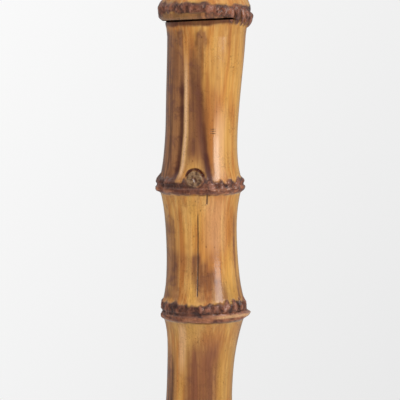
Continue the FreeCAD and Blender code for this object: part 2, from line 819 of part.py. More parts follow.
def snuffer_rivet():
    """Rivet through the strap and the top of the cup, with a head on each side."""
    under = HINGE_Z + CUP_HEIGHT - CUP_WALL - FIT
    over = HINGE_Z + CUP_HEIGHT + 2 * FIT + STRAP_THICK
    return turned([
        (0, under - RIVET_HEAD_THICK),
        (RIVET_HEAD, under - RIVET_HEAD_THICK),
        (RIVET_HEAD, under),
        (RIVET_RADIUS, under),
        (RIVET_RADIUS, over),
        (RIVET_HEAD, over),
        (RIVET_HEAD / 2, over + RIVET_HEAD_THICK),
        (0, over + RIVET_HEAD_THICK),
    ])


# ---- Assembly ---------------------------------------------------------------------


def head_pieces():
    """The repeated pieces of the woven head, by name."""
    pieces = {}
    for i, solid in enumerate(evenly(splint(), SPLINT_COUNT)):
        pieces[f"splint_{i + 1:02d}"] = solid
    lows = [LOWER_WEFT_Z + WEFT_PITCH * i for i in range(LOWER_WEFTS)]
    lows += [UPPER_WEFT_Z + WEFT_PITCH * i for i in range(UPPER_WEFTS)]
    for i, low in enumerate(lows):
        pieces[f"weft_band_{i + 1}"] = weft(low, i % 2)
    inner_face, outer_face = hoop_radii()
    pieces["rim_hoop_inner"] = rim_hoop(inner_face - HOOP_THICK)
    pieces["rim_hoop_outer"] = rim_hoop(outer_face)
    return pieces


def assembly():
    return {
        "ground_spike": ground_spike(),
        "foot_ferrule": foot_ferrule(),
        "foot_plug": foot_plug(),
        "ferrule_brads": ferrule_brads(),
        "lower_pole": lower_pole(),
        "upper_pole": upper_pole(),
        "joint_dowel": joint_dowel(),
        **head_pieces(),
        "rim_brads": rim_brads(),
        "pole_binding": pole_binding(),
        "seat_disc": seat_disc(),
        "seat_screw": turned(seat_screw_outline(0)),
        "canister_base": canister_base(),
        "canister_wall": canister_wall(),
        "canister_lid": canister_lid(),
        "filler_neck": filler_neck(),
        "cap_gasket": cap_gasket(),
        "burner_plate": burner_plate(),
        "wick_tube": wick_tube(),
        "screw_collar": screw_collar(),
        "wick": wick(),
        "snuffer_bracket": snuffer_bracket(),
        "hinge_pin": hinge_pin(),
        "snuffer_strap": snuffer_strap(),
        "snuffer_cup": snuffer_cup(),
        "snuffer_rivet": snuffer_rivet(),
    }


def main():
    os.makedirs("parts", exist_ok=True)
    for name, shape in assembly().items():
        box = shape.BoundBox
        print(f"{name:16s} solids {len(shape.Solids)} valid {shape.isValid()} "
              f"volume {shape.Volume:10.1f} z {box.ZMin:8.2f} to {box.ZMax:8.2f}")
        shape.exportStep(f"parts/{name}.step")


main()
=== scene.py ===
"""Garden torch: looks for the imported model, in metres, in the model's own frame.

Both culm sections are rebuilt as dense meshes with their root rings, scorching and
branch scar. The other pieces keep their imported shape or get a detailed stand-in.
Angles on a culm are measured from its front (-Y) towards +X, heights in millimetres.
"""

import math

import bpy
import numpy as np
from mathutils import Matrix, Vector


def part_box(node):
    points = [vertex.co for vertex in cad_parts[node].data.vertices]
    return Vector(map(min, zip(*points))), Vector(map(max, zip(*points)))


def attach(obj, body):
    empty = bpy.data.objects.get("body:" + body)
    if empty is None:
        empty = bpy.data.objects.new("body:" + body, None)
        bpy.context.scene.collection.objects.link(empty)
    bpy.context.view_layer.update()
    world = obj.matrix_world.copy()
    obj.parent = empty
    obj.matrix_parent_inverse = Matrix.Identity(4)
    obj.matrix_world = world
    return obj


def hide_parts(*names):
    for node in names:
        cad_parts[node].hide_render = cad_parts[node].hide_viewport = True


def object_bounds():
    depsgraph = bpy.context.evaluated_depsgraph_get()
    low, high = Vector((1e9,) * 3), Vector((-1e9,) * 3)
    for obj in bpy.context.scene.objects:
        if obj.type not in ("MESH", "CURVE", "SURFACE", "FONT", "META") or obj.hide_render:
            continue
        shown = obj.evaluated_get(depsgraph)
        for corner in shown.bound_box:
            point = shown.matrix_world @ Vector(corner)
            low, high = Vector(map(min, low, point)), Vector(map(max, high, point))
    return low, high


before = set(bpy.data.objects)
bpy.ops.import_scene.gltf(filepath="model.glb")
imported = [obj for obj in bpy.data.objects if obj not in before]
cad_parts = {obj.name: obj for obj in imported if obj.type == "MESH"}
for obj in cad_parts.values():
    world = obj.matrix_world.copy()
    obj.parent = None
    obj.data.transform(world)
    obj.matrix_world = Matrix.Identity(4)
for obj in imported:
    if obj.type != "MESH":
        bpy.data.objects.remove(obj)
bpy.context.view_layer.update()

MM = 0.001
JOINT = 600.0


def srgb(r, g, b):
    """Linear colour from sRGB components of 0 to 255."""
    def line(c):
        c /= 255
        return c / 12.92 if c <= 0.04045 else ((c + 0.055) / 1.055) ** 2.4

    return line(r), line(g), line(b), 1.0


def added(name, data):
    """New object in the scene for a mesh, lamp or camera."""
    thing = bpy.data.objects.new(name, data)
    bpy.context.collection.objects.link(thing)
    return thing


# ---- Materials ----


class Graph:
    """Node material built around one Principled shader.

    Most methods add a node and give its output. Values are constants or outputs.
    """

    def __init__(self, name):
        self.material = bpy.data.materials.new(name)
        self.material.use_nodes = True
        self.tree = self.material.node_tree
        self.tree.nodes.clear()
        out = self.add("ShaderNodeOutputMaterial")
        self.shader = self.add("ShaderNodeBsdfPrincipled")
        self.feed(out, Surface=self.shader.outputs[0])
        self.place = self.add("ShaderNodeTexCoord").outputs["Object"]

    def add(self, kind, **settings):
        node = self.tree.nodes.new(kind)
        for key, value in settings.items():
            setattr(node, key, value)
        return node

    def put(self, socket, value):
        """Set a socket from a constant or link it from an output."""
        if isinstance(value, bpy.types.NodeSocket):
            self.tree.links.new(value, socket)
        else:
            socket.default_value = value

    def fill(self, node, *values):
        """Put values in a node's sockets in their order; gives its outputs."""
        for socket, value in zip(node.inputs, values):
            self.put(socket, value)
        return node.outputs

    def feed(self, node, **values):
        """Put values in a node's sockets, named with underscores for spaces."""
        for key, value in values.items():
            self.put(node.inputs[key.replace("_", " ")], value)
        return node.outputs

    def set(self, **values):
        """Put values in the shader's own sockets."""
        self.feed(self.shader, **values)

    def math(self, operation, a, b=0.0, c=0.0, clamp=False):
        node = self.add("ShaderNodeMath", operation=operation, use_clamp=clamp)
        return self.fill(node, a, b, c)[0]

    def times(self, a, b, plus=None):
        """Product of two values, with a third added if there is one."""
        if plus is None:
            return self.math("MULTIPLY", a, b)
        return self.math("MULTIPLY_ADD", a, b, plus)

    def apart(self, a, b):
        """Difference of two values, without its sign."""
        return self.math("ABSOLUTE", self.math("SUBTRACT", a, b))

    def mix(self, factor, a, b, blend="MIX"):
        """Mix of two colours: outputs, linear RGBA, or sRGB components of 0 to 255."""
        node = self.add("ShaderNodeMix", data_type="RGBA", blend_type=blend)
        self.put(node.inputs[0], factor)
        for socket, value in zip(node.inputs[6:8], (a, b)):
            components = isinstance(value, tuple) and len(value) == 3
            self.put(socket, srgb(*value) if components else value)
        return node.outputs[2]

    def scaled(self, scale, vector=None, offset=(0, 0, 0)):
        node = self.add("ShaderNodeMapping")
        return self.feed(node, Vector=vector or self.place, Scale=scale, Location=offset)[0]

    def noise(self, vector, scale, detail=2.0, rough=0.5, warp=0.0):
        node = self.add("ShaderNodeTexNoise")
        return self.feed(node, Vector=vector, Scale=scale, Detail=detail, Roughness=rough,
                         Distortion=warp)["Fac"]

    def spots(self, vector, scale, feature="F1", give="Distance"):
        node = self.add("ShaderNodeTexVoronoi", feature=feature)
        return self.feed(node, Vector=vector, Scale=scale)[give]

    def bent(self, amount, scale):
        """The object's place shifted a little, differently from spot to spot."""
        node = self.add("ShaderNodeTexNoise")
        colour = self.feed(node, Vector=self.place, Scale=scale)["Color"]
        shift = self.add("ShaderNodeVectorMath", operation="MULTIPLY_ADD")
        return self.fill(shift, colour, (amount,) * 3, self.place)[0]

    def fit(self, value, low, high, to_low=0.0, to_high=1.0):
        """Smoothly map low..high to to_low..to_high."""
        node = self.add("ShaderNodeMapRange", interpolation_type="SMOOTHSTEP")
        return self.fill(node, value, low, high, to_low, to_high)[0]

    def channels(self, name):
        """Red, green, blue and alpha of a mesh attribute."""
        node = self.add("ShaderNodeAttribute", attribute_name=name)
        split = self.fill(self.add("ShaderNodeSeparateColor"), node.outputs["Color"])
        return (*split, node.outputs["Alpha"])

    def parts(self, vector):
        """X, Y and Z of a vector."""
        return self.fill(self.add("ShaderNodeSeparateXYZ"), vector)

    def away(self):
        """Distance from the Z axis."""
        node = self.add("ShaderNodeVectorMath", operation="LENGTH")
        return self.fill(node, self.scaled((1, 1, 0)))["Value"]

    def bump(self, height, strength, distance, onto="Normal"):
        outputs = self.feed(self.add("ShaderNodeBump"), Height=height, Strength=strength,
                            Distance=distance)
        self.put(self.shader.inputs[onto], outputs[0])


def front_angle(g):
    """Angle round the pole from its front, in radians, and the height in metres."""
    x, y, height = g.parts(g.place)
    return g.math("ARCTAN2", x, g.times(y, -1.0)), height


def line_mask(g, angle, height, at, wide, low, high, wobble):
    """Thin upright crack at an angle in radians between two heights in metres."""
    drift = g.times(wobble, 0.045, at - 0.0225)
    off = g.apart(angle, drift)
    across = g.fit(off, wide, wide * 0.3)
    soft = (high - low) * 0.12
    up = g.fit(height, low, low + soft / 3)
    down = g.fit(height, high, high - soft)
    return g.times(across, g.times(up, down))


def cracks(g, broad, fibre):
    """A long and a short drying crack, and three small cuts beside the ridge."""
    angle, height = front_angle(g)
    long = line_mask(g, angle, height, -0.125, 0.021, 0.4630, 0.5070, broad)
    short = line_mask(g, angle, height, 0.115, 0.024, 0.5095, 0.5145, broad)
    split = g.math("MAXIMUM", long, short)
    beside = g.fit(g.apart(angle, 0.29), 0.11, 0.06)
    for level in (0.5443, 0.5454, 0.5464):
        off = g.apart(height, level)
        nick = g.times(beside, g.fit(off, 0.00025, 0.0001))
        split = g.math("MAXIMUM", split, g.times(nick, g.fit(fibre, 0.35, 0.6)))
    return split


def flecks(g):
    """Dark specks and, in patches, hairline scratches."""
    speck = g.fit(g.spots(g.scaled((1, 1, 0.6)), 330), 0.15, 0.06)
    speck = g.times(speck, g.fit(g.noise(g.place, 120, 1), 0.48, 0.56))
    scratch = g.noise(g.scaled((1, 1, 1), offset=(0.3, 0.1, 0.2)), 420, 1.0, 0.5, 2.4)
    hair = g.fit(g.apart(scratch, 0.5), 0.02, 0.005)
    where = g.fit(g.noise(g.place, 75, 1, 0.5), 0.45, 0.57)
    return g.math("MAXIMUM", speck, g.times(hair, where))


def skin_tone(g, broad, streak, blotch):
    """Golden skin with soft washes, flame marks and painted highlight stripes."""
    scorch, umber, olive, pale = g.channels("tone")
    dusk, ruddy = g.channels("wash")[:2]
    gold = g.mix(g.fit(broad, 0.38, 0.62), (226, 168, 82), (196, 124, 52))
    gold = g.mix(g.fit(streak, 0.46, 0.66, 0, 0.6), gold, (236, 184, 106))
    gold = g.mix(g.fit(blotch, 0.54, 0.76, 0, 0.45), gold, (174, 112, 50))
    gold = g.mix(olive, gold, (170, 126, 60))
    veil = g.fit(streak, 0.3, 0.7, 1.0, 0.7)
    gold = g.mix(g.times(dusk, veil), gold, (132, 78, 52))
    gold = g.mix(g.times(ruddy, veil), gold, (96, 46, 24))
    # Scorching follows the fibres, so its edge is drawn by the streaks.
    ragged = g.times(streak, 1.1, g.times(blotch, 0.7))
    ragged = g.math("SUBTRACT", ragged, 0.9)
    uneven = g.math("ADD", scorch, ragged)
    burnt = g.mix(g.fit(streak, 0.4, 0.6), (70, 36, 18), (166, 110, 66))
    burnt = g.mix(g.fit(blotch, 0.46, 0.66, 0, 0.7), burnt, (116, 70, 54))
    tone = g.mix(g.fit(uneven, 0.22, 0.62), gold, g.mix(0.55, gold, burnt))
    tone = g.mix(g.fit(uneven, 0.45, 0.9), tone, burnt)
    deep = g.times(ragged, 0.9, umber)
    tone = g.mix(g.fit(deep, 0.25, 0.95), tone, (84, 34, 14))
    # Painted highlight: a pale peach tint wherever the highlight mask is raised.
    return g.mix(pale, tone, (250, 200, 150)), pale


def bark_tone(g, blotch, coarse, lumps, top, lip):
    """Brown root ring with painted highlights on its bump tops and painted shade between its bumps,
    with a smoother lip.
    """
    bark = g.mix(g.fit(blotch, 0.38, 0.62), (72, 36, 26), (140, 80, 54))
    bark = g.mix(g.fit(coarse, 0.46, 0.64, 0, 0.75), bark, (170, 108, 78))
    # Painted highlight on the bump tops.
    bark = g.mix(g.fit(top, 0.7, 1.0, 0, 0.5), bark, (190, 134, 112))
    # Painted shade between the bumps, kept off the lip.
    low = g.times(g.fit(top, 0.5, 0.05), g.math("SUBTRACT", 1.0, lip, clamp=True))
    bark = g.mix(g.times(low, 0.85), bark, (46, 20, 15))
    # Painted shade in the crevices between the small lumps.
    bark = g.mix(g.fit(lumps, 0.5, 0.12, 0, 0.6), bark, (50, 23, 17))
    bands = g.fit(g.noise(g.scaled((1, 1, 3)), 130, 4, 0.6), 0.4, 0.62)
    brown = g.mix(bands, (100, 50, 33), (198, 132, 92))
    return g.mix(g.times(lip, 0.6), bark, brown)


def sawn_tone(g):
    """End grain of the cut branch."""
    grain = g.spots(g.place, 1100)
    tone = g.mix(g.fit(grain, 0.05, 0.3), (74, 46, 30), (154, 122, 88))
    return g.mix(g.fit(g.noise(g.place, 520, 3), 0.44, 0.6), tone, (92, 62, 42))


def culm_material():
    """Lacquered, flame-toned bamboo with dark root rings."""
    g = Graph("flamed_bamboo")
    ring, top, lip, cut = g.channels("knot")
    fibre = g.noise(g.scaled((1, 1, 0.02)), 900, 3, 0.6)
    streak = g.noise(g.scaled((1, 1, 0.03)), 330, 3, 0.6)
    broad = g.noise(g.scaled((1, 1, 0.16)), 95, 3, 0.55, 0.4)
    blotch = g.noise(g.place, 190, 4, 0.62, 0.6)
    fine = g.noise(g.place, 1500, 3, 0.6)
    coarse = g.noise(g.scaled((1, 1, 0.6)), 520, 4, 0.65, 0.8)
    lumps = g.fit(g.spots(g.scaled((1, 1, 0.7), g.bent(0.003, 260)), 300, "SMOOTH_F1"), 0.75, 0.15)

    tone, pale = skin_tone(g, broad, streak, blotch)
    tone = g.mix(ring, tone, bark_tone(g, blotch, coarse, lumps, top, lip))
    # Painted highlight along the lips, in pale peach.
    tone = g.mix(g.times(pale, lip), tone, (240, 190, 132))
    tone = g.mix(cut, tone, sawn_tone(g))
    split = cracks(g, broad, fibre)
    tone = g.mix(g.times(split, 0.9), tone, (40, 16, 6))
    tone = g.mix(g.times(flecks(g), 0.6), tone, (94, 50, 14))
    tone = g.mix(g.fit(fibre, 0.32, 0.68, 0.0, 0.5), tone, (0.6, 0.55, 0.5, 1), "MULTIPLY")

    relief = g.times(fibre, 0.25, g.times(blotch, 0.25))
    rough = g.times(lumps, 1.3, g.times(coarse, 3.0))
    rough = g.times(rough, g.times(ring, g.times(lip, -0.7, 1.0)))
    relief = g.math("ADD", relief, g.times(g.times(fine, cut), 1.2, rough))
    relief = g.math("SUBTRACT", relief, g.times(split, 1.6))
    g.bump(relief, 0.6, 0.0004)
    g.bump(g.times(relief, 0.5), 0.6, 0.0004, "Coat Normal")
    g.set(Base_Color=tone, Roughness=g.fit(g.math("ADD", ring, cut), 0, 1, 0.42, 0.5),
          Specular_IOR_Level=0.2, Coat_Weight=0.9, Coat_Roughness=0.14, Coat_IOR=1.45)
    return g.material


def dark_end():
    """End grain inside the joint, coloured nearly black as painted shade in the seam's gap."""
    g = Graph("gap_shade_end")
    grain = g.spots(g.place, 1300)
    tone = g.mix(g.fit(grain, 0.1, 0.5), (16, 9, 6), (44, 27, 16))
    g.bump(grain, 0.3, 0.0003)
    g.set(Base_Color=tone, Roughness=0.95, Specular_IOR_Level=0.0)
    return g.material


def shaved_culm():
    """Bare culm wall where the skin is cut away under the splints."""
    g = Graph("shaved_culm")
    fibre = g.noise(g.scaled((1, 1, 0.02)), 1300, 4, 0.6)
    blotch = g.noise(g.place, 120, 4, 0.6)
    tone = g.mix(g.fit(fibre, 0.36, 0.66), (190, 150, 98), (142, 100, 56))
    tone = g.mix(g.fit(blotch, 0.5, 0.7, 0, 0.6), tone, (116, 80, 46))
    g.bump(fibre, 0.5, 0.0003)
    g.set(Base_Color=tone, Roughness=g.fit(blotch, 0.3, 0.7, 0.6, 0.8), Specular_IOR_Level=0.3)
    return g.material


# ---- Culm ----

AROUND = 240  # points round a culm
CREST = 21.5  # radius that a ring's bumps are laid out on
angles = (np.arange(AROUND) + 0.5) * 2 * math.pi / AROUND - math.pi
front = np.degrees(angles)  # of each column, from the front


def step(x, low, high):
    """Smooth 0 to 1 as x goes from low to high, either way round."""
    t = np.clip((x - low) / (high - low), 0, 1)
    return t * t * (3 - 2 * t)


def within(x, *edges):
    """Smooth rise from the first edge to the second and fall from the third to the fourth."""
    return step(x, edges[0], edges[1]) * step(x, edges[3], edges[2])


def hump(x, centre, half):
    """Smooth bump, 1 at its centre and 0 beyond half."""
    t = np.clip(1 - ((x - centre) / half) ** 2, 0, 1)
    return t * t * (3 - 2 * t)


def bell(x, centre, width):
    """Bell curve, 1 at its centre."""
    return np.exp(-((x - centre) / width) ** 2)


def ripple(seed, cells, heights, pitch):
    """Value noise of 0 to 1 on the grid, periodic round the culm."""
    rng = np.random.default_rng(seed)
    rows = int(1400 / pitch) + 3
    grid = rng.random((rows, cells))
    u = (angles + math.pi) / (2 * math.pi) * cells
    v = (heights + 100) / pitch
    iu, iv = np.floor(u).astype(int), np.floor(v).astype(int)
    fu, fv = u - iu, v - iv
    fu, fv = fu * fu * (3 - 2 * fu), fv * fv * (3 - 2 * fv)

    def at(j, i):
        return grid[np.clip(iv + j, 0, rows - 1)[:, None], ((iu + i) % cells)[None, :]]

    low = at(0, 0) * (1 - fu) + at(0, 1) * fu
    high = at(1, 0) * (1 - fu) + at(1, 1) * fu
    return low * (1 - fv)[:, None] + high * fv[:, None]


def turn_to(centre):
    """Signed degrees from an angle on the culm to each column."""
    return (front - centre + 180) % 360 - 180


def loose_bumps(seed, taken, clear):
    """Random bumps round a ring, away from those taken and clear of its front."""
    rng = np.random.default_rng(seed)
    loose = []
    angle = -180.0
    while angle < 180 - 6:
        wide = rng.uniform(1.7, 3.2)
        spot = angle + math.degrees(wide / CREST)
        near = any(abs((spot - bump[0] + 180) % 360 - 180) < 9 for bump in taken)
        rise = rng.uniform(0.3, 0.95)
        tall = rng.uniform(1.8, 3.4)
        up = rng.uniform(0.2, 2.0)
        if not near and abs(spot) >= clear:
            loose.append((spot, up, wide, tall, rise))
        angle = spot + math.degrees(wide / CREST)
    return loose


# Masks by the mesh attribute that carries them. Tone and wash colour the skin, and knot marks
# the rings and the cut branch. Tone's last channel is a painted highlight, and knot's top channel
# gives painted highlights on bump tops and painted shade between the bumps.
MASKS = {"tone": ("scorch", "umber", "olive", "pale"), "knot": ("ring", "top", "lip", "cut"),
         "wash": ("dusk", "ruddy")}


class Culm:
    """Grid of a culm's wall: radius, height and masks for each row and column."""

    def __init__(self, heights, seed):
        self.z = np.array(heights)
        shape = (len(heights), AROUND)
        self.seed = seed
        self.radius = np.zeros(shape)
        self.lift = np.zeros(shape)
        self.masks = {name: np.zeros(shape) for names in MASKS.values() for name in names}

    def paint(self, **values):
        """Raise masks to new values where these are higher."""
        for name, value in values.items():
            self.masks[name] = np.maximum(self.masks[name], value)

    def waists(self, marks):
        """Radius from (height, radius) marks, the same all round."""
        z, r = zip(*marks)
        self.radius += np.interp(self.z, z, r)[:, None]

    def flare(self, node, rise, reach, most=9.0):
        """Widening on both sides of a node, no more than most."""
        self.radius += np.minimum(rise * np.exp(-np.abs(self.z - node) / reach), most)[:, None]

    def domes(self, bumps, crest):
        """Raise bumps of (angle, height, half width, half height, rise); gives their dome."""
        dome = np.zeros_like(self.radius)
        height = np.zeros_like(self.radius)
        for centre, z, wide, tall, rise in bumps:
            across = np.radians(turn_to(centre)) * crest / wide
            up = (self.z - z)[:, None] / tall
            one = np.clip(1 - across ** 2 - up ** 2, 0, 1) ** 0.6
            height = np.maximum(height, one * rise)
            dome = np.maximum(dome, one)
        self.radius += height
        return dome

    def node_ring(self, node, bumps, half, slope, clear=0, olive=0.6, fill=0.0):
        """Root ring: a dark band with a row of bumps over a smooth lip.

        Bumps are as for domes, with heights over the node. Half is the band's reach
        under and over the node. Slope is the ring's drop at its lowest side and the
        angle of that side. Random bumps start at an angle of clear from the front.
        Olive tints the skin under the ring, and fill lightens the painted shade in the band between
        bumps.
        """
        seed = self.seed + int(node)
        low, high = half
        drop = slope[0] * np.cos(np.radians(turn_to(slope[1])))
        t = self.z[:, None] - node + drop[None, :]
        edge = ripple(seed, 34, self.z, 3.0) - 0.5
        edge += 0.6 * (ripple(seed + 1, 90, self.z, 2.0) - 0.5)
        inside = step(t + 2.4 * edge, high + 0.5, high - 0.7)
        inside *= step(t + 0.8 * edge, -low - 0.5, -low + 0.5)
        self.radius += 0.4 * within(t, -low - 0.8, -low + 0.4, high - 1.0, high + 1.0)
        lip = hump(t, -low + 1.6, 1.9)
        self.radius += 0.7 * lip - 0.45 * hump(t, -low + 4.0, 1.2)
        height = np.zeros_like(t)
        dome = np.zeros_like(t)
        lean = 7.0 * (ripple(seed + 3, 44, self.z, 2.6) - 0.5)
        bob = 2.4 * (ripple(seed + 4, 52, self.z, 2.6) - 0.5)
        for centre, up, wide, tall, rise in bumps + loose_bumps(seed, bumps, clear):
            across = np.radians(turn_to(centre)[None, :] + lean) * CREST / wide
            one = np.clip(1 - across ** 2 - ((t + bob - up) / tall) ** 2, 0, 1) ** 0.6
            height = np.maximum(height, rise * one)
            dome = np.maximum(dome, one * min(1, rise / 0.9))
        knobs = ripple(seed + 2, 150, self.z, 1.0) - 0.5
        self.radius += height + 0.35 * knobs * inside * (1 - 0.7 * lip)
        self.paint(ring=np.maximum(inside, step(dome, 0.12, 0.5)))
        # Through the top mask, bump tops get painted highlights and the band between them painted
        # shade.
        self.paint(top=dome * step(t, -low - 0.5, -low + 2.0))
        self.paint(top=fill * inside)
        self.paint(lip=lip * inside)
        self.paint(olive=olive * within(t, -low - 13, -low - 1, -low, -low + 1))

    def warp(self, marks):
        """Sideways shift of each row, in X from smoothed (height, shift) marks, and in Y."""
        heights, shifts = zip(*marks)
        margin, pitch, window = 40, 2.0, 9
        even = np.arange(self.z[0] - margin, self.z[-1] + margin, pitch)
        smooth = np.convolve(np.interp(even, heights, shifts), np.ones(window) / window, mode="same")
        return np.interp(self.z, even, smooth), 0.5 * np.sin(self.z / 61.0 + self.seed)

    def points(self, shift):
        """Places of the wall's points in metres."""
        x = self.radius * np.sin(angles)[None, :] + shift[0][:, None]
        y = -self.radius * np.cos(angles)[None, :] + shift[1][:, None]
        z = self.z[:, None] + self.lift
        return np.stack([x, y, z], axis=2) * MM


def rows_between(low, high, nodes, coarse, spans):
    """Row heights, fine inside each (low, high, pitch) span and coarse elsewhere."""
    spans = spans + [(n - 7.0, n + 7.0, 0.9) for n in nodes]
    z, heights = low, [low]
    while z < high:
        pitch = min([p for a, b, p in spans if a <= z < b] + [coarse])
        ahead = min([a for a, b, p in spans if a > z] + [high])
        z = min(z + pitch, max(ahead, z + 0.2), high)
        heights.append(z)
    return heights


def quads(count, around, loops):
    """Faces of a grid wrapped round the second way, and the first way if loops is count."""
    j, i = np.meshgrid(np.arange(loops), np.arange(around), indexing="ij")
    ahead, right = (j + 1) % count, (i + 1) % around
    return np.stack([j * around + i, j * around + right, ahead * around + right,
                     ahead * around + i], axis=2).reshape(-1, 4).tolist()


def lathe(name, wall, inner_low, inner_high, materials, body, node, masks):
    """Closed mesh from a wall grid and the rings that close it at each end.

    inner_low and inner_high are lists of (radius, height, slope towards +X) in
    millimetres, walked from the wall's end inwards to a point on the axis.
    """
    def ring(r, z, slope=0.0):
        """Circle of points in metres, tilted by its slope."""
        x = r * np.sin(angles)
        return np.stack([x, -r * np.cos(angles), z + slope * x], axis=1) * MM

    below = [ring(*entry) for entry in inner_low]
    above = [ring(*entry) for entry in inner_high]
    stack = np.concatenate([np.array(below[::-1]), wall, np.array(above)])
    count = len(stack)
    ends = [[0, 0, stack[0, :, 2].mean()], [0, 0, stack[-1, :, 2].mean()]]
    verts = np.concatenate([stack.reshape(-1, 3), ends])
    around = np.arange(AROUND)
    ahead = (around + 1) % AROUND
    bottom, top = len(verts) - 2, len(verts) - 1
    last = (count - 1) * AROUND
    faces = quads(count, AROUND, count - 1)
    faces += np.stack([ahead, around, np.full(AROUND, bottom)], axis=1).tolist()
    faces += np.stack([last + around, last + ahead, np.full(AROUND, top)], axis=1).tolist()
    rows = np.repeat(np.arange(count - 1), AROUND)
    indices = (rows < len(below)) + (len(materials) - 1) * (rows >= count - 1 - len(above))
    indices = np.concatenate([indices, np.ones(2 * AROUND, int)])
    mesh = bpy.data.meshes.new(name)
    mesh.from_pydata(verts.tolist(), [], faces)
    lead = len(below) * AROUND
    for title, group in MASKS.items():
        data = np.zeros((len(verts), 4))
        for channel, mask in enumerate(group):
            data[lead:lead + masks[mask].size, channel] = masks[mask].ravel()
        layer = mesh.color_attributes.new(title, "FLOAT_COLOR", "POINT")
        layer.data.foreach_set("color", data.ravel())
    for material in materials:
        mesh.materials.append(material)
    mesh.polygons.foreach_set("material_index", indices)
    mesh.shade_smooth()
    mesh.set_sharp_from_angle(angle=math.radians(48))
    piece = added(name, mesh)
    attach(piece, body)
    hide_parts(node)


SEAM = JOINT - 0.55  # the seam shows a little under the joint's plane
SEAM_SLOPE = 0.045
SEAM_REACH = 14.0  # how far from the seam its tilt fades out
BRANCH = (-8.4, 522.2)  # angle and height of the cut branch
BRANCH_FACE = 20.3  # distance of its sawn face from the axis
SOCKET, DOWEL = 9.1, 9.0  # radii inside the joint
SOCKET_END = 531.0
NODE_3, NODE_2 = 455.6, 518.0
LOWER_NODES = [56.6, 97.9, 141.5, 187.4, 235.7, 286.5, 340.0, 396.3, NODE_3, NODE_2]
UPPER_NODES = [695.0, 797.0, 905.0, 1017.0]
FERRULE_TOP = 32.0
FOOT = 15.0  # radius inside the ferrule
SHAVED = 1026.0  # the culm is shaved down to its shaft above this
SHAFT = 17.4
POLE_TOP = 1146.0
# Sideways bends of the pole as (height, shift towards +X)
LOWER_BEND = [(0, 0), (60, 0.8), (140, -1.0), (240, 0.9), (330, -0.6), (380, -1.2),
              (405, -1.9), (430, -0.9), (448, 0.9), (470, 0.3), (500, -0.8), (530, -1.1),
              (560, 0.2), (585, 1.8), (600, 2.3)]
UPPER_BEND = [(600, 1.5), (640, 0.6), (695, -0.9), (797, 0.8), (905, -0.7), (1017, 0.3),
              (1030, 0), (1146, 0)]


def seam_tilt(culm):
    """Drop of the seam and its rise towards +X, fading with distance from it."""
    fade = step(np.abs(culm.z - JOINT), SEAM_REACH, 0)[:, None]
    culm.lift += fade * (SEAM - JOINT + SEAM_SLOPE * culm.radius * np.sin(angles))


def right_cluster(culm):
    """Root bumps that hide the seam on the front right, shared by both sections."""
    dome = culm.domes([
        (35, 602.6, 1.9, 4.2, 1.0), (45, 601.9, 2.0, 4.6, 1.4), (55, 601.2, 1.7, 4.6, 1.5),
        (64, 600.7, 1.8, 4.4, 1.8), (75, 599.8, 2.3, 4.4, 2.2), (88, 599.6, 2.6, 4.0, 2.1),
        (101, 600.4, 2.4, 3.8, 1.5),
    ], CREST)
    culm.paint(ring=step(dome, 0.1, 0.45))
    # Bump tops get painted highlights, and the gaps between them painted shade.
    culm.paint(top=dome)


def branch_valleys(culm):
    """Ridge over the branch with a dark valley on each side of it.

    Gives the left valley's angle at each row and the painted highlight streak on the ridge.
    """
    z = culm.z[:, None]
    height = BRANCH[1]
    left = np.interp(z, [520, 528, 545, 565, 590], [-42, -37, -34, -35, -39])
    right = np.interp(z, [516, 524, 530, 545, 565, 590], [14, 13, 10, 4, -2, -7])
    wide = np.interp(z, [520, 545, 590], [6.5, 6.2, 5.5])
    depth = np.interp(z, [516, 524, 545, 575, 594], [0.3, 1.4, 1.15, 0.7, 0.1])
    rise = within(z, height - 3, height + 4, JOINT - 40, JOINT - 3)
    left_cut = bell(front, left, wide)
    right_depth = 0.2 + 0.2 * step(z, 528, 546)
    culm.radius -= depth * rise * (left_cut + right_depth * bell(front, right, 1.2 * wide))
    middle = (left + right) / 2
    culm.radius += 0.7 * depth * rise * bell(front, middle, 1.7 * wide)

    fade = step(z, 594, 583)
    lower = step(z, 578, 545)
    # The right valley's dark line is partly the bamboo's own colour and partly painted shade that
    # stands in for the depth of the groove, which is kept shallow.
    dark = (0.6 + 0.32 * step(z, 552, 540)) * fade * step(z, 515, 520)
    culm.paint(umber=dark * bell(front, right, 0.85 * wide))
    culm.paint(umber=0.72 * left_cut * within(z, 516, 522, 560, 585))
    culm.paint(ruddy=0.7 * left_cut * within(z, 516, 522, 570, 588))
    soft = bell(front, right - 3.5 + 2 * lower, (1.0 + 0.5 * lower) * wide)
    culm.paint(ruddy=(0.45 + 0.4 * lower) * soft * fade * step(z, 514, 520))
    between = step(front, left + 1.9 * wide, left + 2.5 * wide) * step(front, right + 1.5, right - 4)
    between *= step(z, 600, 568)
    loose = (0.38 + 0.5 * ripple(6, 60, culm.z, 70)) * step(z, 532, 550)
    culm.paint(scorch=loose * between)
    culm.paint(dusk=0.95 * between * step(z, 522, 536))
    spine = bell(front, middle + 3, 5.0) * fade * step(z, height + 5, height + 14)
    culm.paint(scorch=0.6 * spine)
    # Painted highlight streak along the ridge's left flank.
    streak = bell(front, left + 1.4 * wide, 0.55 * wide) * rise
    culm.paint(pale=0.95 * streak * step(z, 592, 572))
    return left, streak


